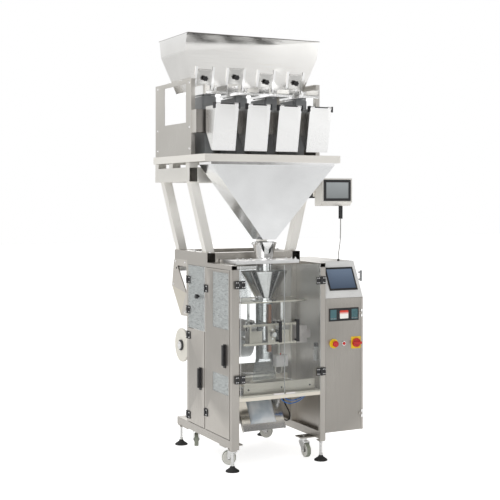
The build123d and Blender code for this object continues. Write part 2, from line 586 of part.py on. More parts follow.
# ==== film pulling: carriage with two belts, and the two driven pulleys ====
PULLEY_X = BELT_FACE + BELT + PULLEY_RADIUS
BELT_FRONT = TUBE_Y - 15
BELT_BACK = TUBE_Y + 15
BRIDGE_BACK = -318.0
BRIDGE_FRONT = -330.0
SEALER_Z = 840.0
PULLEY_SHAFT = 8.0
with BuildPart() as belt_carriage:
    for side in (-1, 1):
        pulley_x = side * PULLEY_X
        with BuildSketch(Plane.XZ.offset(-BELT_BACK)):
            with Locations((pulley_x, (PULLEY_Z + NOSE_Z) / 2)):
                SlotCenterToCenter(PULLEY_Z - NOSE_Z, 2 * (PULLEY_RADIUS + BELT), rotation=90)
                SlotCenterToCenter(PULLEY_Z - NOSE_Z, 2 * PULLEY_RADIUS + 0.8, rotation=90,
                                   mode=Mode.SUBTRACT)
        extrude(amount=BELT_BACK - BELT_FRONT)
        rod((pulley_x, BELT_BACK + 7, NOSE_Z), (pulley_x, BELT_FRONT, NOSE_Z), PULLEY_RADIUS)
        low, high = sorted((side * 60, side * 125))
        block(low, high, BELT_BACK + 7, BELT_BACK + 15, 750, 912)
        rod((pulley_x, BELT_BACK, PULLEY_Z), (pulley_x, BELT_BACK + 60, PULLEY_Z),
            PULLEY_SHAFT + PIN_CLEARANCE, Mode.SUBTRACT)
        case(pulley_x - 35, pulley_x + 35, -175, -110, 845, 915, wall=6.0)
        rod((pulley_x, -110, PULLEY_Z), (pulley_x, -20, PULLEY_Z), 34)
        for x in (pulley_x - 25, pulley_x + 25):
            rod((x, BELT_BACK + 15, PULLEY_Z + 27), (x, -175, PULLEY_Z + 27), 5)
        low, high = sorted((side * 63, side * 151))
        block(low, high, BRIDGE_BACK, BELT_FRONT - 6, 774, 862)
        low, high = sorted((side * 132, side * 150))
        block(low, high, BELT_FRONT - 6, BELT_BACK + 15, 795, 815)
        low, high = sorted((side * 118, side * 132))
        block(low, high, BELT_BACK + 7, BELT_BACK + 15, 795, 815)
        block(low, high, -246, -236, 862, SHELF_LOW)
        block(low, high, -250, -236, 850, 862)
    for z in (772.0, 893.0):
        block(-205, 185, BRIDGE_FRONT, BRIDGE_BACK, z, z + 14)
    for x in (-160, 140):
        block(x, x + 14, BRIDGE_FRONT, BRIDGE_BACK, 786, 893)
    block(-28, 28, BRIDGE_FRONT, BRIDGE_BACK, 786, 893)
    for z in (SEALER_Z - 30, SEALER_Z + 30):
        rod((0, BRIDGE_BACK + 1, z), (0, BRIDGE_FRONT - 1, z), 6 + PIN_CLEARANCE, Mode.SUBTRACT)
    rod((0, BRIDGE_FRONT, SEALER_Z), (0, BRIDGE_FRONT - 42, SEALER_Z), 16)
    rod((0, BRIDGE_BACK + 1, SEALER_Z), (0, BRIDGE_FRONT - 34, SEALER_Z), 5.3, Mode.SUBTRACT)
    case(186, 264, -335, -262, 770, 884, wall=4.0)
    block(264, 296, -325, -285, 800, 850)
save(belt_carriage.part, "belt_carriage")

for name, side in (("left_pull_pulley", -1), ("right_pull_pulley", 1)):
    pulley_x = side * PULLEY_X
    with BuildPart() as pull_pulley:
        rod((pulley_x, BELT_FRONT, PULLEY_Z), (pulley_x, BELT_BACK, PULLEY_Z), PULLEY_RADIUS)
        rod((pulley_x, BELT_FRONT - 3, PULLEY_Z), (pulley_x, BELT_BACK + 34, PULLEY_Z), PULLEY_SHAFT)
        for turn in range(6):
            angle = radians(turn * 60)
            x = pulley_x + 14 * cos(angle)
            z = PULLEY_Z + 14 * sin(angle)
            rod((x, BELT_FRONT - 1, z), (x, BELT_FRONT + 4, z), 3.5, Mode.SUBTRACT)
    save(pull_pulley.part, name)

# ==== vertical sealer: heated bar, two guide pins and the cylinder's rod ====
with BuildPart() as vertical_sealer:
    block(-11, 11, -306, -292, 720, 1030)
    block(-5, 5, -292, -289, 720, 1030)
    for z in (SEALER_Z - 30, SEALER_Z + 30):
        rod((0, -306, z), (0, BRIDGE_FRONT - 14, z), 6)
    rod((0, -306, SEALER_Z), (0, BRIDGE_FRONT - 20, SEALER_Z), 5)
save(vertical_sealer.part, "vertical_sealer")

# ==== horizontal jaws on two rods ====
FRONT_FACE = TUBE_Y - JAW_OPENING
REAR_FACE = TUBE_Y + JAW_OPENING
YOKE_FRONT = -392.0
YOKE_BACK = -380.0
CARRIAGE_FRONT = -110.0
CARRIAGE_BACK = -90.0
REAR_YOKE = 60.0
with BuildPart() as front_jaw:
    block(YOKE_LEFT, YOKE_RIGHT, YOKE_FRONT, YOKE_BACK, 464, 539)
    for x in (-80, 80):
        block(x - 18, x + 18, YOKE_BACK, FRONT_FACE - 70, 482, 534)
    block(-JAW_HALF_WIDTH, JAW_HALF_WIDTH, FRONT_FACE - 70, FRONT_FACE - 3, 478, 538)
    for z in (488, 528):
        block(-JAW_HALF_WIDTH + 8, JAW_HALF_WIDTH - 8, FRONT_FACE - 3, FRONT_FACE, z - 7, z + 7)
    block(-122, 122, FRONT_FACE - 66, FRONT_FACE + 1, JAW_Z - 2.5, JAW_Z + 2.5, Mode.SUBTRACT)
    for side in (-1, 1):
        rod((side * ROD_X, YOKE_BACK, ROD_Z), (side * ROD_X, REAR_YOKE, ROD_Z), ROD_RADIUS)
    block(-240, 240, REAR_YOKE, REAR_YOKE + 12, 475, 525)
    for x in (-200, 40, 250):
        rod((x, YOKE_FRONT, 500), (x, YOKE_FRONT - 3, 500), 6)
save(front_jaw.part, "front_jaw")

with BuildPart() as rear_jaw:
    block(-240, 240, CARRIAGE_FRONT, CARRIAGE_BACK, 466, 536)
    block(-JAW_HALF_WIDTH, JAW_HALF_WIDTH, REAR_FACE + 3, CARRIAGE_FRONT, 478, 538)
    for z in (488, 528):
        block(-JAW_HALF_WIDTH + 8, JAW_HALF_WIDTH - 8, REAR_FACE, REAR_FACE + 3, z - 7, z + 7)
    block(-124, 124, REAR_FACE - 1, REAR_FACE + 34, JAW_Z - 3, JAW_Z + 3, Mode.SUBTRACT)
    for side in (-1, 1):
        rod((side * ROD_X, CARRIAGE_FRONT - 1, ROD_Z), (side * ROD_X, CARRIAGE_BACK + 1, ROD_Z),
            ROD_RADIUS + PIN_CLEARANCE, Mode.SUBTRACT)
    rod((0, CARRIAGE_BACK, ROD_Z), (0, 40, ROD_Z), 8)
save(rear_jaw.part, "rear_jaw")

with BuildPart() as cutting_knife:
    block(-118, 118, FRONT_FACE - 62, FRONT_FACE - 6, JAW_Z - 1, JAW_Z + 1)
    for step in range(-14, 15):
        x = step * 8.0
        rod((x, FRONT_FACE - 6, JAW_Z - 1), (x, FRONT_FACE - 6, JAW_Z + 1), 3.4)
save(cutting_knife.part, "cutting_knife")

# ==== seal sensor box with its looped lead, and the air regulator on the cabinet wall ====
with BuildPart() as sensor_and_air_unit:
    block(28, 118, -342, -292, 624, 698)
    fillet(sensor_and_air_unit.edges().filter_by(Axis.Z), 6)
    rod((66, -318, 698), (66, -318, 712), 9)
    block(52, 62, -330, -318, 698, 772)
    with BuildLine() as lead:
        Line((34, -318, 624.5), (34, -318, 600))
        ThreePointArc((34, -318, 600), (58, -318, 576), (82, -318, 600))
        Line((82, -318, 600), (82, -318, 624.5))
    with BuildSketch(Plane(origin=(34, -318, 624.5), z_dir=(0, 0, -1))):
        Circle(4)
    sweep(path=lead.line)
    block(318, CABINET_LEFT, -372, -328, 712, 742)
    rod((322, -350, 742), (322, -350, 766), 14)
    rod((322, -350, 650), (322, -350, 712), 17)
save(sensor_and_air_unit.part, "sensor_and_air_unit")

# ==== loose lines: each is straight runs joined by tangent arcs ====


def corner_radii(points):
    """Each corner takes 0.45 of its shorter run."""
    radii = []
    for before, here, after in zip(points, points[1:], points[2:]):
        first = Vector(here) - Vector(before)
        second = Vector(after) - Vector(here)
        half_turn = radians(first.get_angle(second)) / 2
        radii.append(0.45 * min(first.length, second.length) / tan(half_turn))
    return radii


def line_tube(points, radius, name):
    """Sweeps one line along its route, and prints its length and its tightest corner."""
    radii = corner_radii(points)
    with BuildLine() as route:
        FilletPolyline(*points, radius=radii)
    start = Plane(origin=points[0], z_dir=Vector(points[1]) - Vector(points[0]))
    with BuildSketch(start) as section:
        Circle(radius)
    sweep(section.sketch, path=route.line)
    length = sum(edge.length for edge in route.edges())
    print(name, "length", round(length, 1), "radii", [round(r) for r in radii])


AIR_TUBE_RADIUS = 3.0
BAR_BACK = FRONT + 30
air_routes = {
    "upper": [
        (60, BAR_BACK, 452), (60, BAR_BACK + 24, 452), (68, BAR_BACK + 46, 440),
        (86, BAR_BACK + 58, 420), (112, BAR_BACK + 66, 404), (144, BAR_BACK + 69, 397),
        (176, BAR_BACK + 66, 400), (204, BAR_BACK + 58, 412), (224, BAR_BACK + 46, 430),
        (232, BAR_BACK + 26, 446), (232, BAR_BACK, 446),
    ],
    "lower": [
        (44, BAR_BACK, 446), (44, BAR_BACK + 26, 446), (52, BAR_BACK + 54, 430),
        (72, BAR_BACK + 72, 406), (102, BAR_BACK + 82, 384), (140, BAR_BACK + 86, 373),
        (178, BAR_BACK + 82, 378), (212, BAR_BACK + 72, 394), (236, BAR_BACK + 58, 420),
        (246, BAR_BACK + 29, 442), (246, BAR_BACK, 442),
    ],
}
with BuildPart() as air_tubes:
    for name, air_route in air_routes.items():
        line_tube(air_route, AIR_TUBE_RADIUS, f"{name} air tube")
save(air_tubes.part, "air_tubes")

CONDUIT_RADIUS = 4.5
conduit_route = [
    (206, -30, 440), (206, -30, 404), (198, -48, 372), (186, -82, 346), (174, -118, 320),
    (165, -146, 288), (168, -160, 252), (190, -166, 228), (218, -162, 226), (238, -150, 246),
    (243, -126, 276), (240, -94, 304), (238, -62, 332), (238, -38, 366), (239, -29, 402),
    (239, -29, 440),
]
with BuildPart() as cable_loop:
    line_tube(conduit_route, CONDUIT_RADIUS, "cable loop")
save(cable_loop.part, "cable_loop")

DISPLAY_CABLE_RADIUS = 3.0
PLUG_LOW = 1585.0
GLAND_HIGH = 1312.0
display_cable_route = [
    (575, -250, PLUG_LOW), (575, -250, 1540), (572, -254, 1482), (564, -262, 1424),
    (550, -272, 1376), (538, -281, 1344), (538, -281, GLAND_HIGH),
]
with BuildPart() as display_cable:
    line_tube(display_cable_route, DISPLAY_CABLE_RADIUS, "display cable")
save(display_cable.part, "display_cable")

# ==== discharge chute ====
CHUTE_LEFT = -180.0
CHUTE_RIGHT = 130.0
CHUTE_RUN = 282.0
with BuildPart() as discharge_chute:
    for x0, x1, y_high in ((-155, 155, 2.0), (-155, -153, 26.0), (153, 155, 26.0)):
        lever_bar(chute_plane, x0, x1, -CHUTE_RUN / 2, CHUTE_RUN / 2, -y_high, 0)
    for x in (CHUTE_LEFT, CHUTE_RIGHT - 4):
        block(x, x + 4, CHUTE_TOP[0], -46, 440, 455)
save(discharge_chute.part, "discharge_chute")

# ==== control cabinet ====
slope_plane = Plane(
    origin=((CABINET_LEFT + CABINET_RIGHT) / 2, (FRONT + SLOPE_REAR) / 2, (SLOPE_LOW + FRAME_TOP) / 2),
    x_dir=(1, 0, 0),
    z_dir=(0, -(FRAME_TOP - SLOPE_LOW), SLOPE_REAR - FRONT),
)
SLOPE_RUN = ((FRAME_TOP - SLOPE_LOW) ** 2 + (SLOPE_REAR - FRONT) ** 2) ** 0.5
CONSOLE_SHEET = 3.0
DOOR_PAN = 18.0
with BuildPart() as cabinet_shell:
    for inset, x0, x1, mode in ((0.0, CABINET_LEFT, CABINET_RIGHT, Mode.ADD),
                                (SHEET, CABINET_LEFT + SHEET, CABINET_RIGHT - SHEET, Mode.SUBTRACT)):
        with BuildSketch(Plane.YZ.offset(x0)):
            with BuildLine():
                Polyline((FRONT + inset, CABINET_LOW + inset), (CABINET_REAR - inset, CABINET_LOW + inset),
                         (CABINET_REAR - inset, FRAME_TOP - inset),
                         (SLOPE_REAR + 4.5 + inset, FRAME_TOP - inset),
                         (FRONT + inset, SLOPE_LOW - 7 + inset), close=True)
            make_face()
        extrude(amount=x1 - x0, mode=mode)
    block(CABINET_LEFT - 1, DOOR_SEAM + 1, FRONT - 1, FRONT + DOOR_PAN + 1, CABINET_LOW - 1,
          SLOPE_LOW - 1, Mode.SUBTRACT)
    block(CABINET_LEFT, DOOR_SEAM + 3, FRONT + DOOR_PAN + 1, FRONT + DOOR_PAN + 3, CABINET_LOW,
          CABINET_LOW + 30)
    block(CABINET_LEFT, DOOR_SEAM + 3, FRONT + DOOR_PAN + 1, FRONT + DOOR_PAN + 3, SLOPE_LOW - 30,
          SLOPE_LOW - 10)
    block(DOOR_SEAM + 1, DOOR_SEAM + 3, FRONT + SHEET, FRONT + DOOR_PAN + 1, CABINET_LOW,
          SLOPE_LOW - 10)
    rod((538, -281, FRAME_TOP - 4), (538, -281, GLAND_HIGH), 8)
    block(365, 610, 196, 200, 250, 1010)
    for x in (380, 595):
        for z in (270, 990):
            rod((x, 200, z), (x, CABINET_REAR - SHEET - 0.2, z), 5)
    for z, count, depth, height in ((880, 5, 70, 100), (700, 3, 110, 150), (560, 8, 55, 80), (360, 2, 120, 150)):
        pitch = 230 / count
        for number in range(count):
            x = 372 + number * pitch
            case(x, x + pitch - 6, 196 - depth, 196, z - height / 2, z + height / 2)
save(cabinet_shell.part, "cabinet_shell")

with BuildPart() as control_console:
    lever_bar(slope_plane, -145, 145, -SLOPE_RUN / 2, SLOPE_RUN / 2, -CONSOLE_SHEET, 0)
    lever_bar(slope_plane, -99, 117, -79, 85, 0, 6)
    lever_bar(slope_plane, -89, 107, -66, 72, 5, 7, Mode.SUBTRACT)
    for z in (1178, 1226):
        rod((CABINET_RIGHT, -381, z), (CABINET_RIGHT + 22, -381, z), 5)
    block(CABINET_RIGHT + 16, CABINET_RIGHT + 28, -387, -375, 1166, 1238)
save(control_console.part, "control_console")

ESTOP = (404.0, 766.0)
STOP_BUTTON = (482.0, 763.0)
MAIN_SWITCH = (577.0, 764.0)
with BuildPart() as cabinet_door:
    block(CABINET_LEFT + 1, DOOR_SEAM, FRONT, FRONT + DOOR_PAN, CABINET_LOW + 1, SLOPE_LOW - 2)
    block(CABINET_LEFT + 1 + SKIN, DOOR_SEAM - SKIN, FRONT + SKIN, FRONT + DOOR_PAN + 1,
          CABINET_LOW + 1 + SKIN, SLOPE_LOW - 2 - SKIN, Mode.SUBTRACT)
    rod((ESTOP[0], FRONT - 8, ESTOP[1]), (ESTOP[0], FRONT, ESTOP[1]), 31)
    rod((ESTOP[0], FRONT - 15, ESTOP[1]), (ESTOP[0], FRONT - 8, ESTOP[1]), 13)
    rod((STOP_BUTTON[0], FRONT - 6, STOP_BUTTON[1]), (STOP_BUTTON[0], FRONT, STOP_BUTTON[1]), 15)
    block(MAIN_SWITCH[0] - 37, MAIN_SWITCH[0] + 37, FRONT - 3, FRONT, MAIN_SWITCH[1] - 40,
          MAIN_SWITCH[1] + 40)
    for (x, z), radius in ((ESTOP, 7.3), (STOP_BUTTON, 10.3), (MAIN_SWITCH, 6.3)):
        rod((x, FRONT - 20, z), (x, FRONT + 5, z), radius, Mode.SUBTRACT)
    block(369, 597, FRONT - 5, FRONT, 913, 998)
    for x0, x1 in ((377, 425), (432, 534), (541, 589)):
        block(x0, x1, FRONT - 6, FRONT - 4, 922, 989, Mode.SUBTRACT)
    for plane in cabinet_hinges:
        lever_bar(plane, -20, 0, 0, 6, -KNUCKLE_HALF, KNUCKLE_HALF)
        with Locations(plane):
            Cylinder(5, 2 * KNUCKLE_HALF)
            Cylinder(PIN_RADIUS + PIN_CLEARANCE, 4 * KNUCKLE_HALF, mode=Mode.SUBTRACT)
save(cabinet_door.part, "cabinet_door")

with BuildPart() as emergency_stop:
    rod((ESTOP[0], FRONT - 22, ESTOP[1]), (ESTOP[0], FRONT - 38, ESTOP[1]), 20)
    fillet(emergency_stop.edges().filter_by(GeomType.CIRCLE).sort_by(Axis.Y)[0], 7)
    rod((ESTOP[0], FRONT - 4, ESTOP[1]), (ESTOP[0], FRONT - 23, ESTOP[1]), 7)
save(emergency_stop.part, "emergency_stop")

with BuildPart() as stop_button:
    rod((STOP_BUTTON[0], FRONT - 1, STOP_BUTTON[1]), (STOP_BUTTON[0], FRONT - 11, STOP_BUTTON[1]), 10)
    fillet(stop_button.edges().filter_by(GeomType.CIRCLE).sort_by(Axis.Y)[0], 2)
save(stop_button.part, "stop_button")

with BuildPart() as main_switch:
    rod((MAIN_SWITCH[0], FRONT - 4, MAIN_SWITCH[1]), (MAIN_SWITCH[0], FRONT - 14, MAIN_SWITCH[1]), 30)
    block(MAIN_SWITCH[0] - 28, MAIN_SWITCH[0] + 28, FRONT - 34, FRONT - 13, MAIN_SWITCH[1] - 8,
          MAIN_SWITCH[1] + 8)
    rod((MAIN_SWITCH[0], FRONT + 4, MAIN_SWITCH[1]), (MAIN_SWITCH[0], FRONT - 5, MAIN_SWITCH[1]), 6)
save(main_switch.part, "main_switch")

# ==== weigher stand ====
LOWER_HALF = 350.0
LOWER_REAR = 470.0
UPPER_HALF = 478.0
UPPER_REAR = 516.0
LEG_FRONT = -48.0
LEG_FOOT = 340.0            # outer face of a leg at the lower ring
LEG_HEAD = 455.0            # outer face of a leg at the upper ring


def ring(half, front, rear, z0, z1):
    """Four tubes in a rectangle, with mitre-free corners."""
    for side in (-1, 1):
        low, high = sorted((side * half, side * (half - RING_TUBE)))
        tube(low, high, front, rear, z0, z1, "y")
    inner = half - RING_TUBE - WELD_GAP
    tube(-inner, inner, front, front + RING_TUBE, z0, z1, "x")
    tube(-inner, inner, rear - RING_TUBE, rear, z0, z1, "x")


with BuildPart() as stand_rings:
    ring(LOWER_HALF, RING_FRONT, LOWER_REAR, FRAME_TOP, RING_HIGH)
    ring(UPPER_HALF, RING_FRONT, UPPER_REAR, UPPER_LOW, UPPER_HIGH)
    for x in (-UPPER_HALF, UPPER_HALF - RING_TUBE):
        for y in (RING_FRONT, 200, UPPER_REAR - 60):
            case(x, x + RING_TUBE, y, y + 60, UPPER_HIGH, TRAY_LOW)
save(stand_rings.part, "stand_rings")

with BuildPart() as stand_legs:
    for side in (-1, 1):
        for leg_front in (LEG_FRONT, LOWER_REAR - 62):
            with BuildSketch(Plane.XZ.offset(-(leg_front + RING_TUBE))):
                with BuildLine():
                    Polyline((side * LEG_FOOT, RING_HIGH), (side * LEG_HEAD, UPPER_LOW),
                             (side * (LEG_HEAD - RING_TUBE), UPPER_LOW),
                             (side * (LEG_FOOT - RING_TUBE), RING_HIGH), close=True)
                make_face()
            extrude(amount=RING_TUBE)
            with BuildSketch(Plane.XZ.offset(-(leg_front + RING_TUBE - WALL))):
                with BuildLine():
                    Polyline((side * (LEG_FOOT - WALL), RING_HIGH), (side * (LEG_HEAD - WALL), UPPER_LOW),
                             (side * (LEG_HEAD - RING_TUBE + WALL), UPPER_LOW),
                             (side * (LEG_FOOT - RING_TUBE + WALL), RING_HIGH), close=True)
                make_face()
            extrude(amount=RING_TUBE - 2 * WALL, mode=Mode.SUBTRACT)
save(stand_legs.part, "stand_legs")

# ==== weigher frame: tray, side plates, load-cell beam and rear electronics box ====
SIDE_PLATE_X = 483.0
SIDE_PLATE_FRONT = -124.0
SIDE_PLATE_REAR = 497.0
SIDE_PLATE_HIGH = 2505.0
BUCKET_TOP = 2316.0
with BuildPart() as weigher_frame:
    block(-TRAY_HALF, TRAY_HALF, TRAY_FRONT, TRAY_REAR, TRAY_LOW, TRAY_HIGH)
    block(-TRAY_HALF + 3, TRAY_HALF - 3, TRAY_FRONT + 3, TRAY_REAR - 3, TRAY_LOW - 1,
          TRAY_HIGH - 3, Mode.SUBTRACT)
    block(-440, 440, TRAY_FRONT + 16, -200, TRAY_LOW, TRAY_HIGH + 1, Mode.SUBTRACT)
    for side in (-1, 1):
        low, high = sorted((side * SIDE_PLATE_X, side * (SIDE_PLATE_X - 3)))
        block(low, high, SIDE_PLATE_FRONT, SIDE_PLATE_REAR, TRAY_HIGH, SIDE_PLATE_HIGH)
        block(low - 1, high + 1, -40, 330, 2222, 2475, Mode.SUBTRACT)
        for y in (SIDE_PLATE_FRONT, SIDE_PLATE_REAR - 3):
            low, high = sorted((side * SIDE_PLATE_X, side * (SIDE_PLATE_X - 30)))
            block(low, high, y, y + 3, TRAY_HIGH, SIDE_PLATE_HIGH)
        low, high = sorted((side * SIDE_PLATE_X, side * 440))
        block(low, high, SIDE_PLATE_FRONT, SIDE_PLATE_REAR, SIDE_PLATE_HIGH - 3, SIDE_PLATE_HIGH)
    block(-SIDE_PLATE_X + 31, SIDE_PLATE_X - 31, -200, -130, 2150, 2300)
    block(-SIDE_PLATE_X + 33, SIDE_PLATE_X - 33, -198, -132, 2152, 2298, Mode.SUBTRACT)
    for side in (-1, 1):
        low, high = sorted((side * (SIDE_PLATE_X - 32), side * (SIDE_PLATE_X - 3)))
        block(low, high, -200, -110, 2150, 2300)
    for x in HEADS:
        block(x - 25, x + 25, -224, -200, 2230, 2270)
    case(-440, 440, 200, 460, TRAY_HIGH, 2170, wall=2.0)
save(weigher_frame.part, "weigher_frame")

# ==== storage hopper with four outlets ====
slope_tan = tan(radians(HOPPER_SLOPE))


def hopper_outline(z):
    """Half width, front and rear of the hopper at a height."""
    inward = max(0.0, HOPPER_BEND - z) * (HOPPER_HALF - HOPPER_LOW_HALF) / (HOPPER_BEND - HOPPER_LOW)
    drop = (HOPPER_HIGH - z) * slope_tan
    return HOPPER_HALF - inward, HOPPER_FRONT + drop, HOPPER_REAR - drop


def hopper_section(z, inset):
    half, front, rear = hopper_outline(z)
    with BuildSketch(Plane.XY.offset(z)) as section:
        with Locations((0, (front + rear) / 2)):
            Rectangle(2 * (half - inset), rear - front - 2 * inset)
    return section.sketch


with BuildPart() as product_hopper:
    for z0, z1 in ((HOPPER_LOW, HOPPER_BEND), (HOPPER_BEND, HOPPER_HIGH)):
        loft([hopper_section(z0, 0.0), hopper_section(z1, 0.0)])
    half, front, rear = hopper_outline(HOPPER_HIGH)
    block(-half, half, front - 14, rear + 14, HOPPER_HIGH - 3, HOPPER_HIGH)
    for z0, z1 in ((HOPPER_LOW + SHEET, HOPPER_BEND), (HOPPER_BEND, HOPPER_HIGH)):
        loft([hopper_section(z0, SHEET), hopper_section(z1, SHEET)], mode=Mode.SUBTRACT)
    for x in HEADS:
        block(x - 48, x + 48, -40, 40, HOPPER_LOW + 6, 2526, Mode.SUBTRACT)
    for side in (-1, 1):
        low, high = sorted((side * 429, side * 482))
        block(low, high, 20, 50, SIDE_PLATE_HIGH, SIDE_PLATE_HIGH + 4)
        block(low, high, 250, 280, SIDE_PLATE_HIGH, SIDE_PLATE_HIGH + 4)
    for x in HEADS:
        gate_wall = Plane(origin=(x, hopper_outline(2530)[1], 2530), x_dir=(1, 0, 0),
                          z_dir=(0, -cos(radians(HOPPER_SLOPE)), -sin(radians(HOPPER_SLOPE))))
        for side in (-1, 1):
            low, high = sorted((side * 59, side * 70))
            lever_bar(gate_wall, low, high, -82, 70, -0.5, 4.2)
            low, high = sorted((side * 54, side * 70))
            lever_bar(gate_wall, low, high, -82, 70, 4.2, 6.0)
save(product_hopper.part, "product_hopper")

for number, (x, lift) in enumerate(zip(HEADS, GATE_LIFTS), start=1):
    gate_wall = Plane(origin=(x, hopper_outline(2530)[1], 2530), x_dir=(1, 0, 0),
                      z_dir=(0, -cos(radians(HOPPER_SLOPE)), -sin(radians(HOPPER_SLOPE))))
    with BuildPart() as hopper_gate:
        lever_bar(gate_wall, -57.5, 57.5, -54 + lift, 46 + lift, 0.8, 3.6)
        lever_bar(gate_wall, -50, 50, 46 + lift, 49 + lift, 0.8, 22)
        knob_plane = Plane(gate_wall.from_local_coords((0, -8 + lift, 3.6)), gate_wall.x_dir,
                           gate_wall.z_dir)
        with Locations(knob_plane):
            Cylinder(6, 16, align=UPRIGHT)
            with Locations((0, 0, 16)):
                Cylinder(14, 12, align=UPRIGHT)
            for turn in range(6):
                with Locations((13 * cos(radians(turn * 60)), 13 * sin(radians(turn * 60)), 16)):
                    Cylinder(5, 12, align=UPRIGHT)
    save(hopper_gate.part, f"hopper_gate_{number}")

# ==== vibrating feeders: pan, spring posts and drive under each outlet ====
with BuildPart() as vibrating_feeders:
    for x in HEADS:
        block(x - 76, x + 76, -222, 60, 2400, 2402)
        for side in (-1, 1):
            low, high = sorted((x + side * 76, x + side * 74))
            block(low, high, -222, -8 - WELD_GAP, 2402 + WELD_GAP, 2462)
            block(low, high, -8, 60, 2402 + WELD_GAP, 2437)
        block(x - 74 + WELD_GAP, x + 74 - WELD_GAP, 58, 60, 2402 + WELD_GAP, 2437)
        case(x - 52, x + 52, -96, 96, 2290, 2392, wall=12.0)
        block(x - 30, x + 30, -70, 70, 2392, 2400 - WELD_GAP)
        for y in (-110, 90):
            block(x - 40, x + 40, y, y + 5, 2240 + WELD_GAP, 2400 - WELD_GAP)
        case(x - 60, x + 60, -125, 125, 2205 + WELD_GAP, 2240, wall=8.0)
        case(x - 30, x + 30, -100, 150, TRAY_HIGH, 2205)
save(vibrating_feeders.part, "vibrating_feeders")

# ==== weigh buckets with their drop doors ====
BUCKET_HALF = 80.0
BUCKET_PIN = (-379.0, 2326.0)
BUCKET_PIN_RADIUS = 4.0
with BuildPart() as weigh_buckets:
    for x in HEADS:
        with BuildSketch(Plane.YZ.offset(x - BUCKET_HALF)):
            with BuildLine():
                Polyline((-374, BUCKET_TOP), (-321, 2036), (-310, 2036), (-225, 2160),
                         (-225, BUCKET_TOP), close=True)
            make_face()
        extrude(amount=2 * BUCKET_HALF)
        with BuildSketch(Plane.YZ.offset(x - BUCKET_HALF + SHEET)):
            with BuildLine():
                Polyline((-392, BUCKET_TOP + 10), (-335, 2026), (-318, 2026), (-227, 2161),
                         (-227, BUCKET_TOP + 10), close=True)
            make_face()
        extrude(amount=2 * (BUCKET_HALF - SHEET), mode=Mode.SUBTRACT)
        for side in (-1, 1):
            low, high = sorted((x + side * 84, x + side * 88))
            block(low, high, -388, -352, 2296, 2334)
            low, high = sorted((x + side * 79, x + side * 88))
            block(low, high, -368, -352, 2296, 2312)
        rod((x - 88, *BUCKET_PIN), (x + 88, *BUCKET_PIN), BUCKET_PIN_RADIUS)
save(weigh_buckets.part, "weigh_buckets")

for number, x in enumerate(HEADS, start=1):
    with BuildPart() as bucket_door:
        with BuildSketch(Plane.YZ.offset(x - 82)):
            with BuildLine():
                Polyline((-380.5, 2322), (-325.5, 2031), (-323.4, 2031), (-376.5, 2322), close=True)
            make_face()
        extrude(amount=164)
        for side in (-1, 1):
            low, high = sorted((x + side * 50, x + side * 78))
            rod((low, *BUCKET_PIN), (high, *BUCKET_PIN), 7)
        rod((x - 90, *BUCKET_PIN), (x + 90, *BUCKET_PIN), BUCKET_PIN_RADIUS + PIN_CLEARANCE,
            Mode.SUBTRACT)
    save(bucket_door.part, f"bucket_door_{number}")

# ==== collecting funnel ====
FUNNEL_LOW = 1455.0
FUNNEL_TOP = (452.0, -372.0, -186.0)     # half width, front and rear at the top
FUNNEL_MOUTH = (47.0, -300.0, -150.0)


def funnel_section(z, size, inset):
    half, front, rear = size
    with BuildSketch(Plane.XY.offset(z)) as section:
        with Locations((0, (front + rear) / 2)):
            Rectangle(2 * (half - inset), rear - front - 2 * inset)
    return section.sketch


with BuildPart() as collecting_funnel:
    for inset, mode in ((0.0, Mode.ADD), (SHEET, Mode.SUBTRACT)):
        loft([funnel_section(FUNNEL_LOW, FUNNEL_MOUTH, inset),
              funnel_section(TRAY_LOW - 18, FUNNEL_TOP, inset)], mode=mode)
    half, front, rear = FUNNEL_TOP
    block(-half, half, front, rear, TRAY_LOW - 18, TRAY_LOW)
    block(-half + SHEET, half - SHEET, front + SHEET, rear - SHEET, TRAY_LOW - 20, TRAY_LOW + 1,
          Mode.SUBTRACT)
save(collecting_funnel.part, "collecting_funnel")

# ==== weigher display on its bracket ====
DISPLAY_LEFT = 406.0
DISPLAY_RIGHT = 642.0
DISPLAY_FRONT = -290.0
DISPLAY_BACK = -190.0
DISPLAY_LOW = 1672.0
DISPLAY_HIGH = 1860.0
with BuildPart() as weigher_display:
    with BuildSketch(Plane.YZ.offset(DISPLAY_LEFT)):
        with BuildLine():
            Polyline((DISPLAY_FRONT, DISPLAY_HIGH), (DISPLAY_FRONT, DISPLAY_LOW + 26),
                     (DISPLAY_FRONT + 28, DISPLAY_LOW), (DISPLAY_BACK, DISPLAY_LOW),
                     (DISPLAY_BACK, DISPLAY_HIGH), close=True)
        make_face()
    extrude(amount=DISPLAY_RIGHT - DISPLAY_LEFT)
    block(DISPLAY_LEFT + SHEET, DISPLAY_RIGHT - SHEET, DISPLAY_FRONT + 30, DISPLAY_BACK - SHEET,
          DISPLAY_LOW + SHEET, DISPLAY_HIGH - SHEET, Mode.SUBTRACT)
    block(DISPLAY_LEFT + 12, DISPLAY_RIGHT - 12, DISPLAY_FRONT - 4, DISPLAY_FRONT, 1706, 1850)
    block(DISPLAY_LEFT + 30, DISPLAY_RIGHT - 30, DISPLAY_FRONT - 5, DISPLAY_FRONT - 2, 1724, 1832,
          Mode.SUBTRACT)
    rod((575, -250, PLUG_LOW), (575, -250, DISPLAY_LOW), 14)
    block(385, 470, RING_FRONT - 6, RING_FRONT, 1725, 1900)
    for x in (392, 456):
        block(x, x + 6, DISPLAY_BACK, RING_FRONT - 6, 1735, 1810)
    block(392, 470, DISPLAY_BACK, DISPLAY_BACK + 6, 1735, 1810)
save(weigher_display.part, "weigher_display")
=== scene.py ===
import math

import bmesh
import bpy
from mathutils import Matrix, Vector, noise


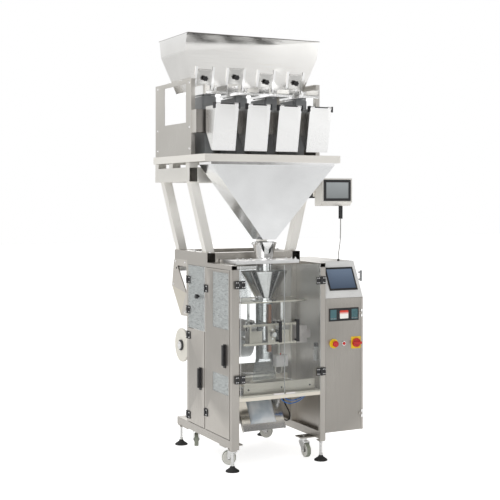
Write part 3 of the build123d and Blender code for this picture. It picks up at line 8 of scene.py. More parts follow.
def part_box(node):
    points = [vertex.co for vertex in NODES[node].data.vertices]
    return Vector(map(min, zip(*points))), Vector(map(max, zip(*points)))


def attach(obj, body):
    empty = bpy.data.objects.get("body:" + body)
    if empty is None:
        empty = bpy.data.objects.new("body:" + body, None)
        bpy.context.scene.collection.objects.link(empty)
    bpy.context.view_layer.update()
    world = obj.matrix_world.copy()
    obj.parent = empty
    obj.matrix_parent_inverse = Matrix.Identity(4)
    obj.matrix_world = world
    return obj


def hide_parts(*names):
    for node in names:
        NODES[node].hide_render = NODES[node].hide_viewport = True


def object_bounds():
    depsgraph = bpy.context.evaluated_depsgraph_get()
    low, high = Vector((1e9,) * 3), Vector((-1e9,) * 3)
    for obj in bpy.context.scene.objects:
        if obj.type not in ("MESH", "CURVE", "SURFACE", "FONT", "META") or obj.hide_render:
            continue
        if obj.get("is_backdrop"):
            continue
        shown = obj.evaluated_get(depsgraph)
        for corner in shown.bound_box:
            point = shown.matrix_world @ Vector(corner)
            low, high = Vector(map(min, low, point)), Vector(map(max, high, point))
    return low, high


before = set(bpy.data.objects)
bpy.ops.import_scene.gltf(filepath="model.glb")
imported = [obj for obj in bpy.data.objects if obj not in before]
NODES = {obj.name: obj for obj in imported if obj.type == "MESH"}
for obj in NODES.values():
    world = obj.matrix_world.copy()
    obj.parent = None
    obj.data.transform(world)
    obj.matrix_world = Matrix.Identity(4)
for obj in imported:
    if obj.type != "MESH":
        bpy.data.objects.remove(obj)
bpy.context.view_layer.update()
MM = 0.001

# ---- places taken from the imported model, in millimetres
BODY_Y = -225.0                 # the forming tube's axis
TUBE_RADIUS = 55.8              # of the film round the forming tube
SHELF = 1040.0                  # where the film tube starts, under the collar
TUBE_END = 670.0                # the forming tube's lower end
SEAL_Z = 570.0                  # the film is flat from here down
FILM_END = 509.5                # just above the knife
HEADS = [-343.5, -114.5, 114.5, 343.5]
SIDE_FACE = -345.4              # just outside the side doors' skin
DOOR_FACE = -452.4              # just outside the front doors' sheets
PANEL_FACE = -440.2             # just outside the cabinet door's skin
CONTROL_FACE = -444.0           # where the controllers' keys and readout stand


# ---- node helpers
class Shader:
    """A material being built: short calls that add and link nodes."""

    def __init__(self, name):
        self.material = bpy.data.materials.new(name)
        self.material.use_nodes = True
        self.tree = self.material.node_tree
        self.principled = self.tree.nodes["Principled BSDF"]
        self.place = self.add("ShaderNodeTexCoord").outputs["Object"]

    def add(self, kind):
        return self.tree.nodes.new(kind)

    def link(self, source, target):
        self.tree.links.new(source, target)

    def noise(self, scale, stretch=(1, 1, 1), detail=4.0):
        mapping = self.add("ShaderNodeMapping")
        mapping.inputs["Scale"].default_value = stretch
        self.link(self.place, mapping.inputs["Vector"])
        texture = self.add("ShaderNodeTexNoise")
        texture.inputs["Scale"].default_value = scale
        texture.inputs["Detail"].default_value = detail
        self.link(mapping.outputs["Vector"], texture.inputs["Vector"])
        return texture.outputs["Fac"]

    def spread(self, value, low, high, start=0.3, end=0.7):
        """Maps start..end of a value to low..high."""
        node = self.add("ShaderNodeMapRange")
        node.inputs["From Min"].default_value = start
        node.inputs["From Max"].default_value = end
        node.inputs["To Min"].default_value = low
        node.inputs["To Max"].default_value = high
        self.link(value, node.inputs["Value"])
        return node.outputs["Result"]

    def ramp(self, value, stops):
        node = self.add("ShaderNodeValToRGB")
        elements = node.color_ramp.elements
        while len(elements) < len(stops):
            elements.new(0.5)
        for element, (position, color) in zip(elements, stops):
            element.position = position
            element.color = (*color, 1.0)
        self.link(value, node.inputs["Fac"])
        return node.outputs["Color"]

    def mix(self, factor, first, second):
        node = self.add("ShaderNodeMix")
        node.data_type = "RGBA"
        self.link(factor, node.inputs["Factor"])
        for socket, value in (("A", first), ("B", second)):
            target = [i for i in node.inputs if i.name == socket and i.type == "RGBA"][0]
            if isinstance(value, tuple):
                target.default_value = (*value, 1.0)
            else:
                self.link(value, target)
        return [o for o in node.outputs if o.type == "RGBA"][0]

    def bump(self, height, strength, distance=0.0005):
        node = self.add("ShaderNodeBump")
        node.inputs["Strength"].default_value = strength
        node.inputs["Distance"].default_value = distance
        self.link(height, node.inputs["Height"])
        self.link(node.outputs["Normal"], self.principled.inputs["Normal"])

    def color(self, source):
        self.link(source, self.principled.inputs["Base Color"])

    def rough(self, source):
        self.link(source, self.principled.inputs["Roughness"])

    def set(self, **values):
        for name, value in values.items():
            self.principled.inputs[name.replace("_", " ")].default_value = value


def shade(color, amount):
    return tuple(min(1.0, c * amount) for c in color)


# noise scales that draw brush lines along one axis
BRUSH = {"x": (1.5, 220, 220), "y": (220, 1.5, 220), "z": (220, 220, 1.5)}


def metal(name, color, rough, brush="z", spread=0.10, bump=0.05, cloud=0.86):
    """Brushed metal: fine lines along one axis, broad patches of painted reflection that darken the colour
    and add roughness, brighter worn edges.
    """
    s = Shader(name)
    s.set(Metallic=1.0)
    lines = s.noise(3.0, BRUSH[brush], 3.0)
    # painted reflection: broad noise patches that stand for uneven reflections; they also add roughness
    reflection_patches = s.noise(2.6, (1, 1, 1), 5.0)
    tint = s.mix(s.spread(lines, 0.0, 1.0), shade(color, 0.90), shade(color, 1.06))
    # painted reflection: the patches pull the colour down towards the darker cloud tone
    tint = s.mix(s.spread(reflection_patches, 0.0, 0.5, 0.35, 0.8), tint, shade(color, cloud))
    edge = s.spread(s.add("ShaderNodeNewGeometry").outputs["Pointiness"], 0.0, 1.0, 0.51, 0.56)
    s.color(s.mix(edge, tint, shade(color, 1.25)))
    both = s.add("ShaderNodeMath")
    both.operation = "ADD"
    s.link(s.spread(lines, rough - spread / 2, rough + spread / 2), both.inputs[0])
    s.link(s.spread(reflection_patches, -0.04, 0.08), both.inputs[1])
    s.rough(both.outputs[0])
    s.bump(lines, bump, 0.0003)
    return s.material


def plastic(name, color, rough, grain=900.0, bump=0.08, spot=0.12, coat=0.0):
    """Moulded plastic, rubber or paint with a fine grain and slight mottling."""
    s = Shader(name)
    s.set(Coat_Weight=coat)
    mottle = s.noise(14.0, (1, 1, 1), 5.0)
    fine = s.noise(grain, (1, 1, 1), 2.0)
    s.color(s.mix(s.spread(mottle, 0.0, 1.0), shade(color, 1.0 - spot), shade(color, 1.0 + spot)))
    s.rough(s.spread(mottle, rough - 0.05, rough + 0.07))
    s.bump(fine, bump, 0.0003)
    return s.material


def clear(name, tint, haze):
    """Clear sheet: transparent with a glossy skin, and a little haze and scratching."""
    s = Shader(name)
    see = s.add("ShaderNodeBsdfTransparent")
    see.inputs["Color"].default_value = (*tint, 1.0)
    scratch = s.noise(30.0, (1, 1, 8), 6.0)
    s.set(Base_Color=(0.86, 0.90, 0.90, 1.0), IOR=1.49)
    s.rough(s.spread(scratch, 0.02, 0.10))
    fresnel = s.add("ShaderNodeFresnel")
    fresnel.inputs["IOR"].default_value = 1.49
    gloss = s.add("ShaderNodeBsdfGlossy")
    gloss.inputs["Roughness"].default_value = 0.03
    skin = s.add("ShaderNodeMixShader")
    s.link(fresnel.outputs["Fac"], skin.inputs["Fac"])
    s.link(see.outputs["BSDF"], skin.inputs[1])
    s.link(gloss.outputs["BSDF"], skin.inputs[2])
    whole = s.add("ShaderNodeMixShader")
    s.link(s.spread(scratch, haze * 0.6, haze * 1.5), whole.inputs["Fac"])
    s.link(skin.outputs["Shader"], whole.inputs[1])
    s.link(s.principled.outputs["BSDF"], whole.inputs[2])
    s.link(whole.outputs["Shader"], s.tree.nodes["Material Output"].inputs["Surface"])
    return s.material


def screen(name, top, bottom, low, high):
    """A lit display: a soft vertical gradient between two heights in metres."""
    s = Shader(name)
    split = s.add("ShaderNodeSeparateXYZ")
    s.link(s.place, split.inputs["Vector"])
    height = s.spread(split.outputs["Z"], 0.0, 1.0, low, high)
    picture = s.mix(height, bottom, top)
    s.color(picture)
    s.link(picture, s.principled.inputs["Emission Color"])
    s.set(Emission_Strength=0.25, Roughness=0.08)
    return s.material


STEEL = (0.42, 0.40, 0.372)
PALE = (0.76, 0.745, 0.71)
M = {
    "post": metal("steel_upright", STEEL, 0.30, "z"),
    "rail_x": metal("steel_across", STEEL, 0.30, "x"),
    "rail_y": metal("steel_lengthwise", STEEL, 0.30, "y"),
    "door": metal("steel_door", (0.46, 0.437, 0.405), 0.31, "z", spread=0.14, cloud=0.76),
    "plate": metal("steel_guide_plate", (0.62, 0.59, 0.55), 0.42, "y"),
    "cabinet": metal("steel_cabinet", (0.46, 0.437, 0.405), 0.32, "z", spread=0.14, cloud=0.80),
    "stand": metal("steel_stand", PALE, 0.42, "x", bump=0.03),
    "leg": metal("steel_leg", PALE, 0.38, "z", bump=0.03),
    "tray": metal("steel_tray", (0.80, 0.78, 0.74), 0.40, "x"),
    "funnel": metal("steel_funnel", (0.92, 0.93, 0.94), 0.15, "z", bump=0.02, cloud=0.55),
    "bucket": metal("steel_bucket", (0.86, 0.86, 0.85), 0.22, "z", bump=0.02),
    "hopper": metal("steel_hopper", (0.90, 0.89, 0.87), 0.20, "x", bump=0.02, cloud=0.74),
    "side_plate": metal("steel_side_plate", (0.62, 0.60, 0.565), 0.32, "z"),
    "gate": metal("steel_gate", (0.62, 0.615, 0.60), 0.20, "z", cloud=0.7),
    "deck": metal("steel_deck", (0.88, 0.87, 0.85), 0.30, "x"),
    "mirror": metal("steel_polished", (0.84, 0.84, 0.84), 0.08, "z", spread=0.04, bump=0.005),
    "bright": metal("steel_bright", (0.82, 0.82, 0.81), 0.16, "x", spread=0.05, bump=0.02),
    "jaw": metal("steel_jaw", (0.70, 0.66, 0.58), 0.34, "x"),
    "aluminium": metal("aluminium", (0.74, 0.73, 0.72), 0.36, "x"),
    "dark": metal("steel_dark", (0.26, 0.245, 0.23), 0.34, "x"),
    "brown": metal("heated_bar", (0.34, 0.17, 0.11), 0.36, "z"),
    "motor": plastic("motor_paint", (0.72, 0.66, 0.64), 0.45),
    "black": plastic("black_plastic", (0.018, 0.018, 0.020), 0.42),
    "black_metal": plastic("black_coating", (0.022, 0.022, 0.024), 0.32, grain=400.0),
    "rubber": plastic("black_rubber", (0.020, 0.020, 0.020), 0.62, grain=300.0, bump=0.15),
    "cream": plastic("cream_nylon", (0.83, 0.80, 0.72), 0.40, bump=0.05, spot=0.05),
    "film_roll": plastic("film_roll", (0.80, 0.83, 0.86), 0.22, grain=200.0, spot=0.04),
    "wheel": plastic("wheel_nylon", (0.80, 0.79, 0.74), 0.38, spot=0.05),
    "tread": plastic("wheel_tread", (0.30, 0.32, 0.26), 0.46, spot=0.06),
    "white": plastic("white_paint", (0.84, 0.84, 0.83), 0.32, spot=0.03, coat=0.2),
    "sensor": plastic("sensor_case", (0.88, 0.84, 0.83), 0.35, spot=0.04),
    "yellow": plastic("yellow_plastic", (0.90, 0.62, 0.02), 0.34, spot=0.05),
    "red": plastic("red_plastic", (0.62, 0.015, 0.012), 0.26, spot=0.08, coat=0.3),
    "teal": plastic("teal_label", (0.07, 0.17, 0.19), 0.30),
    "grey": plastic("grey_plastic", (0.34, 0.35, 0.36), 0.40),
    "blue": plastic("blue_air_tube", (0.03, 0.20, 0.62), 0.20, spot=0.06),
    "cable_grey": plastic("grey_cable", (0.30, 0.29, 0.27), 0.45),
    "clear": clear("clear_sheet", (0.965, 0.975, 0.972), 0.02),
    "side_clear": clear("side_sheet", (0.93, 0.95, 0.95), 0.36),
    # painted highlight: the clear sheets' edges are near-white and opaque, standing for the bright lines
    # that light draws along them
    "edge": plastic("sheet_edge_painted_highlight", (0.98, 0.99, 0.99), 0.18, spot=0.0),
    "film": clear("clear_film", (0.95, 0.965, 0.975), 0.22),
    "floor": plastic("studio_floor", (0.92, 0.92, 0.92), 0.9, spot=0.01),
    "console_screen": screen("console_screen", (0.16, 0.21, 0.29), (0.05, 0.07, 0.11), 1.10, 1.26),
    "display_screen": screen("display_screen", (0.30, 0.32, 0.33), (0.20, 0.215, 0.22), 1.72, 1.83),
    "red_digits": screen("lit_readout", (0.60, 0.05, 0.03), (0.80, 0.78, 0.74), 0.955, 0.972),
}


def printed_bag():
    """Clear film over a pale filling, with soft grey-blue panels printed across it."""
    s = Shader("printed_bag")
    bands = s.noise(7.0, (1, 1, 1), 2.0)
    s.color(s.ramp(s.spread(bands, 0.0, 1.0, 0.36, 0.64),
                   [(0.0, (0.55, 0.62, 0.68)), (0.4, (0.78, 0.82, 0.85)), (1.0, (0.93, 0.94, 0.94))]))
    creases = s.noise(45.0, (1, 1, 1), 6.0)
    s.rough(s.spread(creases, 0.08, 0.25))
    s.bump(creases, 0.5, 0.002)
    s.set(Alpha=0.88, Coat_Weight=0.6)
    return s.material


M["bag"] = printed_bag()


# the floor glows where it is seen directly, so that it meets the pale background without a line
FLOOR_GLOW = 0.20               # towards everything
FLOOR_GLOW_SEEN = 0.52          # added towards the camera
floor_tree = M["floor"].node_tree
floor_shader = floor_tree.nodes["Principled BSDF"]
floor_shader.inputs["Emission Color"].default_value = (1.0, 1.0, 1.0, 1.0)
floor_ray = floor_tree.nodes.new("ShaderNodeLightPath")
floor_glow = floor_tree.nodes.new("ShaderNodeMath")
floor_glow.operation = "MULTIPLY_ADD"
floor_glow.inputs[1].default_value = FLOOR_GLOW_SEEN
floor_glow.inputs[2].default_value = FLOOR_GLOW
floor_tree.links.new(floor_ray.outputs["Is Camera Ray"], floor_glow.inputs[0])
floor_tree.links.new(floor_glow.outputs["Value"], floor_shader.inputs["Emission Strength"])
floor_shader.inputs["Specular IOR Level"].default_value = 0.15


# ---- painting CAD nodes by region
def near(p, radius, **centre):
    """Whether a point lies within a radius of a centre, measured along the axes that are named."""
    return sum((getattr(p, axis) - value) ** 2 for axis, value in centre.items()) < radius ** 2


def paint(node, default, *regions):
    """Gives a node its materials. A region is (material, test) and the test takes the face's middle
    in millimetres and its normal; the last region that passes wins."""
    mesh = NODES[node].data
    mesh.materials.clear()
    names = [default] + [name for name, test in regions]
    for name in names:
        mesh.materials.append(M[name])
    for face in mesh.polygons:
        middle = face.center / MM
        index = 0
        for number, (name, test) in enumerate(regions, start=1):
            if test(middle, face.normal):
                index = number
        face.material_index = index


def soften(node, width=0.9):
    """Small rounded edges, as folded and ground metal has."""
    piece = NODES[node]
    weld = piece.modifiers.new("weld", "WELD")
    weld.merge_threshold = 0.00002
    bevel = piece.modifiers.new("soft_edges", "BEVEL")
    bevel.width = width * MM
    bevel.segments = 2
    bevel.limit_method = "ANGLE"
    bevel.angle_limit = math.radians(38)
    bevel.harden_normals = True


paint("frame_posts", "post")
paint("frame_rails", "rail_y",
      ("rail_x", lambda p, n: abs(p.x) < 303.0),
      ("jaw", lambda p, n: 437.0 < p.z < 473.0 and p.y < -400.0))
paint("fixed_plates", "plate",
      ("deck", lambda p, n: p.z > 1299.0 and p.y < -90.0),
      ("jaw", lambda p, n: 1025.0 < p.z < 1055.0),
      ("cabinet", lambda p, n: p.z < 565.0 and abs(p.y - 259.0) < 3.0),
      ("black", lambda p, n: abs(p.x) > 300.0 and near(p, 10.0, y=450.0, z=1235.0)),
      ("bright", lambda p, n: near(p, 14.1, y=252.0, z=1235.0)),
      ("bright", lambda p, n: near(p, 10.0, y=252.0, z=1000.0)))
paint("levelling_feet", "rubber",
      ("bright", lambda p, n: p.z > 34.5),
      ("rail_x", lambda p, n: p.z > 125.0))
for corner in ("front_left", "front_right", "rear_left", "rear_right"):
    paint(f"caster_fork_{corner}", "bright")
    centre = sum(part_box(f"caster_wheel_{corner}"), Vector()) / 2 / MM
    paint(f"caster_wheel_{corner}", "wheel",
          ("tread", lambda p, n, c=centre: (p - c).length > 42.0),
          ("black", lambda p, n, c=centre: (p - c).length < 20.0))
paint("hinges_and_bolts", "black_metal",
      ("bright", lambda p, n: p.z > 1310.0),
      ("bright", lambda p, n: p.x > 600.0))
for door in ("front_left_door", "front_right_door"):
    paint(door, "clear",
          # painted highlight on the sheet's edges
          ("edge", lambda p, n: abs(n.y) < 0.5),
          ("black", lambda p, n: p.y < DOOR_FACE and p.z > 480.0),
          ("sensor", lambda p, n: p.y < DOOR_FACE and p.z < 480.0),
          ("black_metal", lambda p, n: (p.x < -253.0 or p.x > 267.0) and p.y < DOOR_FACE))
paint("side_upper_door", "side_clear",
      # painted highlight on the sheet's edges
      ("edge", lambda p, n: abs(n.x) < 0.5),
      ("black", lambda p, n: p.x < SIDE_FACE),
      ("black_metal", lambda p, n: p.y > 202.0 and p.x < SIDE_FACE))
paint("side_tall_door", "door",
      ("side_clear", lambda p, n: -404.0 < p.y < -155.0 and p.x < -338.0 and abs(n.x) > 0.7
       and (889.0 < p.z < 1252.0 or 473.0 < p.z < 600.0) and p.x > -344.0),
      ("black_metal", lambda p, n: p.y > -84.0 and p.x < SIDE_FACE),
      ("black", lambda p, n: p.y < -320.0 and 640.0 < p.z < 800.0 and p.x < SIDE_FACE))
paint("side_lower_door", "door",
      ("black_metal", lambda p, n: p.y > 202.0 and p.x < SIDE_FACE),
      ("black", lambda p, n: p.y < 60.0 and 440.0 < p.z < 600.0 and p.x < SIDE_FACE))
paint("tall_door_lever", "black")
paint("lower_door_lever", "black")
paint("forming_tube", "mirror")
paint("forming_collar", "mirror")
paint("film_reel", "cream",
      ("film_roll", lambda p, n: abs(p.x) < 185.0),
      ("black", lambda p, n: abs(p.x) > 334.0),
      ("mirror", lambda p, n: abs(p.x) > 344.0))
paint("guide_roller", "aluminium", ("black", lambda p, n: abs(p.x) > 331.0))
paint("dancer_arm", "aluminium", ("black", lambda p, n: abs(p.x) > 261.0))
paint("belt_carriage", "bright",
      ("rubber", lambda p, n: -241.0 < p.y < -209.0 and 750.0 < p.z < 910.0 and abs(p.x) < 112.0),
      ("motor", lambda p, n: p.y > -180.0),
      ("motor", lambda p, n: p.x > 185.0),
      ("jaw", lambda p, n: p.y < -317.0 and p.x < 186.0),
      ("bright", lambda p, n: p.y < -331.0 and p.x < 30.0))
paint("left_pull_pulley", "aluminium")
paint("right_pull_pulley", "aluminium")
paint("vertical_sealer", "brown", ("bright", lambda p, n: p.y < -307.0))
paint("front_jaw", "jaw",
      ("black_metal", lambda p, n: p.y < -392.5),
      ("bright", lambda p, n: abs(abs(p.x) - 215.0) < 13.0 and -379.0 < p.y < 59.0))
paint("rear_jaw", "jaw")
paint("cutting_knife", "bright")
paint("sensor_and_air_unit", "sensor",
      ("white", lambda p, n: p.x > 300.0),
      ("black", lambda p, n: p.x > 300.0 and p.z > 742.0),
      ("red", lambda p, n: p.x < 120.0 and 698.5 < p.z < 713.0),
      ("cream", lambda p, n: p.x < 120.0 and p.z > 713.0),
      ("cream", lambda p, n: p.x < 120.0 and p.z < 623.5))
paint("discharge_chute", "funnel")
paint("cabinet_shell", "cabinet",
      ("black", lambda p, n: p.z > 1300.5),
      ("grey", lambda p, n: 75.0 < p.y < 195.9 and 366.0 < p.x < 609.0 and 280.0 < p.z < 935.0),
      ("rail_x", lambda p, n: 195.9 < p.y < 200.5 and 240.0 < p.z < 1015.0))
paint("cabinet_door", "cabinet",
      ("black", lambda p, n: p.y < PANEL_FACE and p.z > 905.0 and p.x < 600.0),
      ("teal", lambda p, n: abs(p.y - CONTROL_FACE) < 0.3 and p.z > 915.0 and not 430.0 < p.x < 536.0),
      ("yellow", lambda p, n: near(p, 31.6, x=404.0, z=766.0) and p.y < PANEL_FACE),
      ("bright", lambda p, n: near(p, 16.1, x=482.0, z=763.0) and p.y < PANEL_FACE),
      ("yellow", lambda p, n: p.x > 539.0 and 723.0 < p.z < 807.0 and p.y < PANEL_FACE))
paint("emergency_stop", "red", ("black", lambda p, n: p.y > -461.0))
paint("stop_button", "red")
paint("main_switch", "red")
paint("stand_rings", "stand", ("rail_x", lambda p, n: p.z < 1400.0))
paint("stand_legs", "leg")
paint("weigher_frame", "side_plate",
      ("tray", lambda p, n: p.z < 2008.5),
      # painted shade: the beam's front between the bucket heads is darkened steel, standing for steel with
      # the shade in the gaps among its parts
      ("dark", lambda p, n: 2149.0 < p.z < 2301.0 and p.y < -129.0 and abs(p.x) < 451.0))
paint("product_hopper", "hopper", ("dark", lambda p, n: p.z > 2804.0 and n.z < 0.5))
paint("vibrating_feeders", "mirror", ("grey", lambda p, n: p.z < 2395.0))
paint("weigh_buckets", "bucket", ("black", lambda p, n: p.y < -352.0 and p.z > 2290.0))
for number in range(1, 5):
    paint(f"bucket_door_{number}", "bucket")
paint("collecting_funnel", "funnel")

# ---- the console's sloping face and the weigher's display
SLOPE_ORIGIN = Vector((488.0, -381.5, 1183.0))
SLOPE_NORMAL = Vector((0.0, -0.8944, 0.4472))
SLOPE_UP = Vector((0.0, 0.4472, 0.8944))


def slope_place(p):
    """Across, up and out of the console's face."""
    away = p - SLOPE_ORIGIN
    return away.x, away.dot(SLOPE_UP), away.dot(SLOPE_NORMAL)


def on_bezel(p, n):
    across, up, out = slope_place(p)
    return out > 0.2 and -100.0 < across < 118.0 and -80.0 < up < 86.0


def on_console_screen(p, n):
    across, up, out = slope_place(p)
    return 4.7 < out < 5.3 and n.dot(SLOPE_NORMAL) > 0.9 and -88.0 < across < 106.0 and -65.0 < up < 71.0


paint("control_console", "white", ("grey", lambda p, n: p.x > 633.5), ("black", on_bezel),
      ("console_screen", on_console_screen))
paint("weigher_display", "tray",
      ("black", lambda p, n: p.y < -290.2 or p.z < 1671.5),
      ("display_screen", lambda p, n: -292.3 < p.y < -291.7 and n.y < -0.9 and 1720.0 < p.z < 1836.0),
      ("black_metal", lambda p, n: p.y > -189.8))

# the gates' star knobs stand out from the hopper's slanted front wall
GATE_WALL = Vector((0.0, -22.2, 2530.0))
GATE_OUT = Vector((0.0, -0.9716, -0.2368))
gate_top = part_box("hopper_gate_1")[1].z / MM - 20.0
for number, gate_x in enumerate(HEADS, start=1):
    paint(f"hopper_gate_{number}", "gate",
          ("black", lambda p, n, x=gate_x: abs(p.x - x) < 20.0
           and (p - Vector((x, 0, 0)) - GATE_WALL).dot(GATE_OUT) > 4.4
           and p.z < gate_top))


# the side doors stay sharp: rounding would touch the pins in their hinge knuckles
for node in ("frame_posts", "frame_rails", "fixed_plates", "cabinet_shell", "cabinet_door",
             "control_console", "stand_rings", "stand_legs", "weigher_frame", "product_hopper",
             "collecting_funnel", "weigh_buckets", "weigher_display", "front_jaw",
             "belt_carriage", "discharge_chute", "vibrating_feeders"):
    soften(node)


# ---- building new pieces
def add_piece(name, bm, material, body, smooth=True):
    mesh = bpy.data.meshes.new(name)
    bmesh.ops.recalc_face_normals(bm, faces=bm.faces)
    bm.to_mesh(mesh)
    bm.free()
    for face in mesh.polygons:
        face.use_smooth = smooth
    piece = bpy.data.objects.new(name, mesh)
    bpy.context.scene.collection.objects.link(piece)
    mesh.materials.append(M[material])
    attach(piece, body)
    return piece


def join_rows(bm, rows):
    """Faces between neighbouring rows of points."""
    for lower, upper in zip(rows, rows[1:]):
        for a, b, c, d in zip(lower, lower[1:], upper[1:], upper):
            bm.faces.new((a, b, c, d))


def join_rings(bm, rings):
    """Faces between neighbouring closed rings of points."""
    for lower, upper in zip(rings, rings[1:]):
        for step in range(len(lower)):
            after = (step + 1) % len(lower)
            bm.faces.new((lower[step], lower[after], upper[after], upper[step]))


def lathe(bm, base, axis, profile, sides=20):
    """Turns a profile of (radius, height) pairs about an axis, in millimetres, closed at both ends."""
    turn = Vector((0, 0, 1)).rotation_difference(Vector(axis)).to_matrix()
    rings = []
    for radius, height in profile:
        ring = []
        for step in range(sides):
            angle = 2 * math.pi * step / sides
            place = Vector((radius * math.cos(angle), radius * math.sin(angle), height))
            ring.append(bm.verts.new((Vector(base) + turn @ place) * MM))
        rings.append(ring)
    join_rings(bm, rings)
    bm.faces.new(rings[0][::-1])
    bm.faces.new(rings[-1])


def screw(bm, base, axis, radius=3.6):
    """A pan-head screw with a dished socket."""
    lathe(bm, base, axis, [(radius, 0.0), (radius, 1.0), (radius * 0.8, 1.9), (radius * 0.45, 2.1),
                           (radius * 0.36, 1.2), (radius * 0.1, 1.0)], 14)


def bolt(bm, base, axis, radius=7.0):
    """A hexagon head on a washer, with a chamfered top."""
    lathe(bm, base, axis, [(radius * 1.45, 0.0), (radius * 1.45, 1.2), (radius * 1.4, 1.5)], 20)
    lathe(bm, Vector(base) + Vector(axis) * 1.4, axis,
          [(radius, 0.0), (radius, 4.0), (radius * 0.86, 5.0), (radius * 0.2, 5.1)], 6)


FRONT_HINGES = {
    "left": (-288.0, (1179.0, 581.0), -1),
    "right": (302.0, (1188.0, 591.0), 1),
}
SIDE_HINGES = {
    "side_tall_door": (-49.0, (1130.0, 313.0), False),
    "side_lower_door": (237.0, (790.0, 245.0), True),
    "side_upper_door": (237.0, (1169.0, 964.0), True),
}
HINGE_SCREW_Z = (-15.0, 15.0)
HINGE_SCREW_REACH = (15.0, 27.0)
fixed_screws = bmesh.new()
for side, (pin_x, heights, towards) in FRONT_HINGES.items():
    door_screws = bmesh.new()
    for height in heights:
        for dz in HINGE_SCREW_Z:
            for reach in HINGE_SCREW_REACH:
                screw(fixed_screws, (pin_x + towards * reach, -456.0, height + dz), (0, -1, 0))
                screw(door_screws, (pin_x - towards * reach, -457.0, height + dz), (0, -1, 0))
    add_piece(f"hinge_screws_front_{side}", door_screws, "bright", f"front_{side}_door")
for door, (pin_y, heights, has_leaf) in SIDE_HINGES.items():
    door_screws = bmesh.new()
    for height in heights:
        for dz in HINGE_SCREW_Z:
            for reach in HINGE_SCREW_REACH:
                screw(door_screws, (-350.0, pin_y - reach, height + dz), (-1, 0, 0))
                if has_leaf:
                    screw(fixed_screws, (-349.0, pin_y + reach, height + dz), (-1, 0, 0))
    add_piece(f"hinge_screws_{door}", door_screws, "bright", door)
add_piece("hinge_screws_fixed", fixed_screws, "bright", "machine")

# bolts of the film guide plates, the weigher's side plates and the load-cell arms
GUIDE_PLATE_FACE = 343.0
WEIGHER_PLATE_FACE = 483.0
LOAD_ARM_FRONT = -224.0
plate_bolts = bmesh.new()
for side in (-1, 1):
    for y, z in ((300.0, 935.0), (300.0, 1282.0), (470.0, 1282.0), (505.0, 1120.0)):
        bolt(plate_bolts, (side * GUIDE_PLATE_FACE, y, z), (side, 0, 0), 6.0)
    for y, z in ((-100.0, 2050.0), (450.0, 2050.0), (450.0, 2190.0), (-100.0, 2190.0),
                 (-100.0, 2480.0), (450.0, 2480.0)):
        bolt(plate_bolts, (side * WEIGHER_PLATE_FACE, y, z), (side, 0, 0), 6.0)
for x in HEADS:
    for z in (2240.0, 2260.0):
        bolt(plate_bolts, (x, LOAD_ARM_FRONT, z), (0, -1, 0), 4.5)
add_piece("plate_bolts", plate_bolts, "bright", "machine")

# threads on the feet's stems
THREAD_STEP = 1.5               # from a ridge to the next groove
threads = bmesh.new()
for x in (-323.0, 323.0):
    for y, low, high in ((-412.0, 48.5, 116.0), (412.0, 48.5, 124.0)):
        turns = int((high - low) / THREAD_STEP)
        profile = [(8.1 if step % 2 else 9.1, low + step * THREAD_STEP) for step in range(turns)]
        lathe(threads, (x, y, 0), (0, 0, 1), profile, 24)
add_piece("foot_threads", threads, "bright", "machine")

# keys of the two outer controllers on the cabinet door
keys = bmesh.new()
for left, right in ((377.0, 425.0), (541.0, 589.0)):
    pitch = (right - left) / 4
    for number in range(4):
        lathe(keys, (left + (number + 0.5) * pitch, CONTROL_FACE, 930.0), (0, -1, 0),
              [(3.4, 0.0), (3.4, 1.8), (2.6, 2.6)], 16)
add_piece("controller_keys", keys, "grey", "cabinet_door")

# the middle controller's readout, a shallow lens with rounded corners and a chamfered rim
readout = bmesh.new()
outline = []
for corner_x, corner_z, start in ((510.0, 976.0, 0), (456.0, 976.0, 90),
                                  (456.0, 934.0, 180), (510.0, 934.0, 270)):
    for step in range(7):
        angle = math.radians(start + 15 * step)
        outline.append((corner_x, corner_z, math.cos(angle), math.sin(angle)))
layers = [[readout.verts.new(Vector((x + c * reach, y, z + a * reach)) * MM)
           for x, z, c, a in outline]
          for y, reach in ((CONTROL_FACE - 0.1, 6.0), (CONTROL_FACE - 1.0, 6.0), (CONTROL_FACE - 1.6, 5.2))]
join_rings(readout, layers)
readout.faces.new(layers[-1])
readout.faces.new(list(reversed(layers[0])))
add_piece("controller_readout", readout, "red_digits", "cabinet_door", smooth=False)


# ---- weld beads where the stand's legs meet the rings
def bead_loop(bm, corners, radius=2.2, sides=8):
    """An uneven bead round a closed loop of corners."""
    points = []
    for here, after in zip(corners, corners[1:] + corners[:1]):
        steps = max(2, int((Vector(after) - Vector(here)).length / 2.5))
        points += [Vector(here).lerp(Vector(after), step / steps) for step in range(steps)]
    rings = []
    count = len(points)
    for number, point in enumerate(points):
        along = (points[(number + 1) % count] - points[number - 1]).normalized()
        across = along.cross(Vector((0, 0, 1))).normalized()
        swell = radius * (1.0 + 0.25 * math.sin(number * 1.7) + 0.2 * noise.noise(point * 0.3))
        rings.append([
            bm.verts.new((point + (across * math.cos(a) + Vector((0, 0, 1)) * math.sin(a)) * swell) * MM)
            for a in (2 * math.pi * k / sides for k in range(sides))])
    join_rings(bm, rings + rings[:1])


welds = bmesh.new()
for side in (-1, 1):
    for leg_y in (-48.0, 408.0):
        for height, outer in ((1365.0, 340.3), (1832.0, 454.7)):
            inner = outer - 60.0
            bead_loop(welds, [(side * outer, leg_y, height), (side * outer, leg_y + 60.0, height),
                              (side * inner, leg_y + 60.0, height), (side * inner, leg_y, height)])
add_piece("leg_welds", welds, "tray", "machine")

# ---- louvres on the cabinet's right side
LOUVRE_ROWS = 8
LOUVRE_COLUMNS = 12
LOUVRE_DEPTH = 5.0
LOUVRE_RISE = 9.0


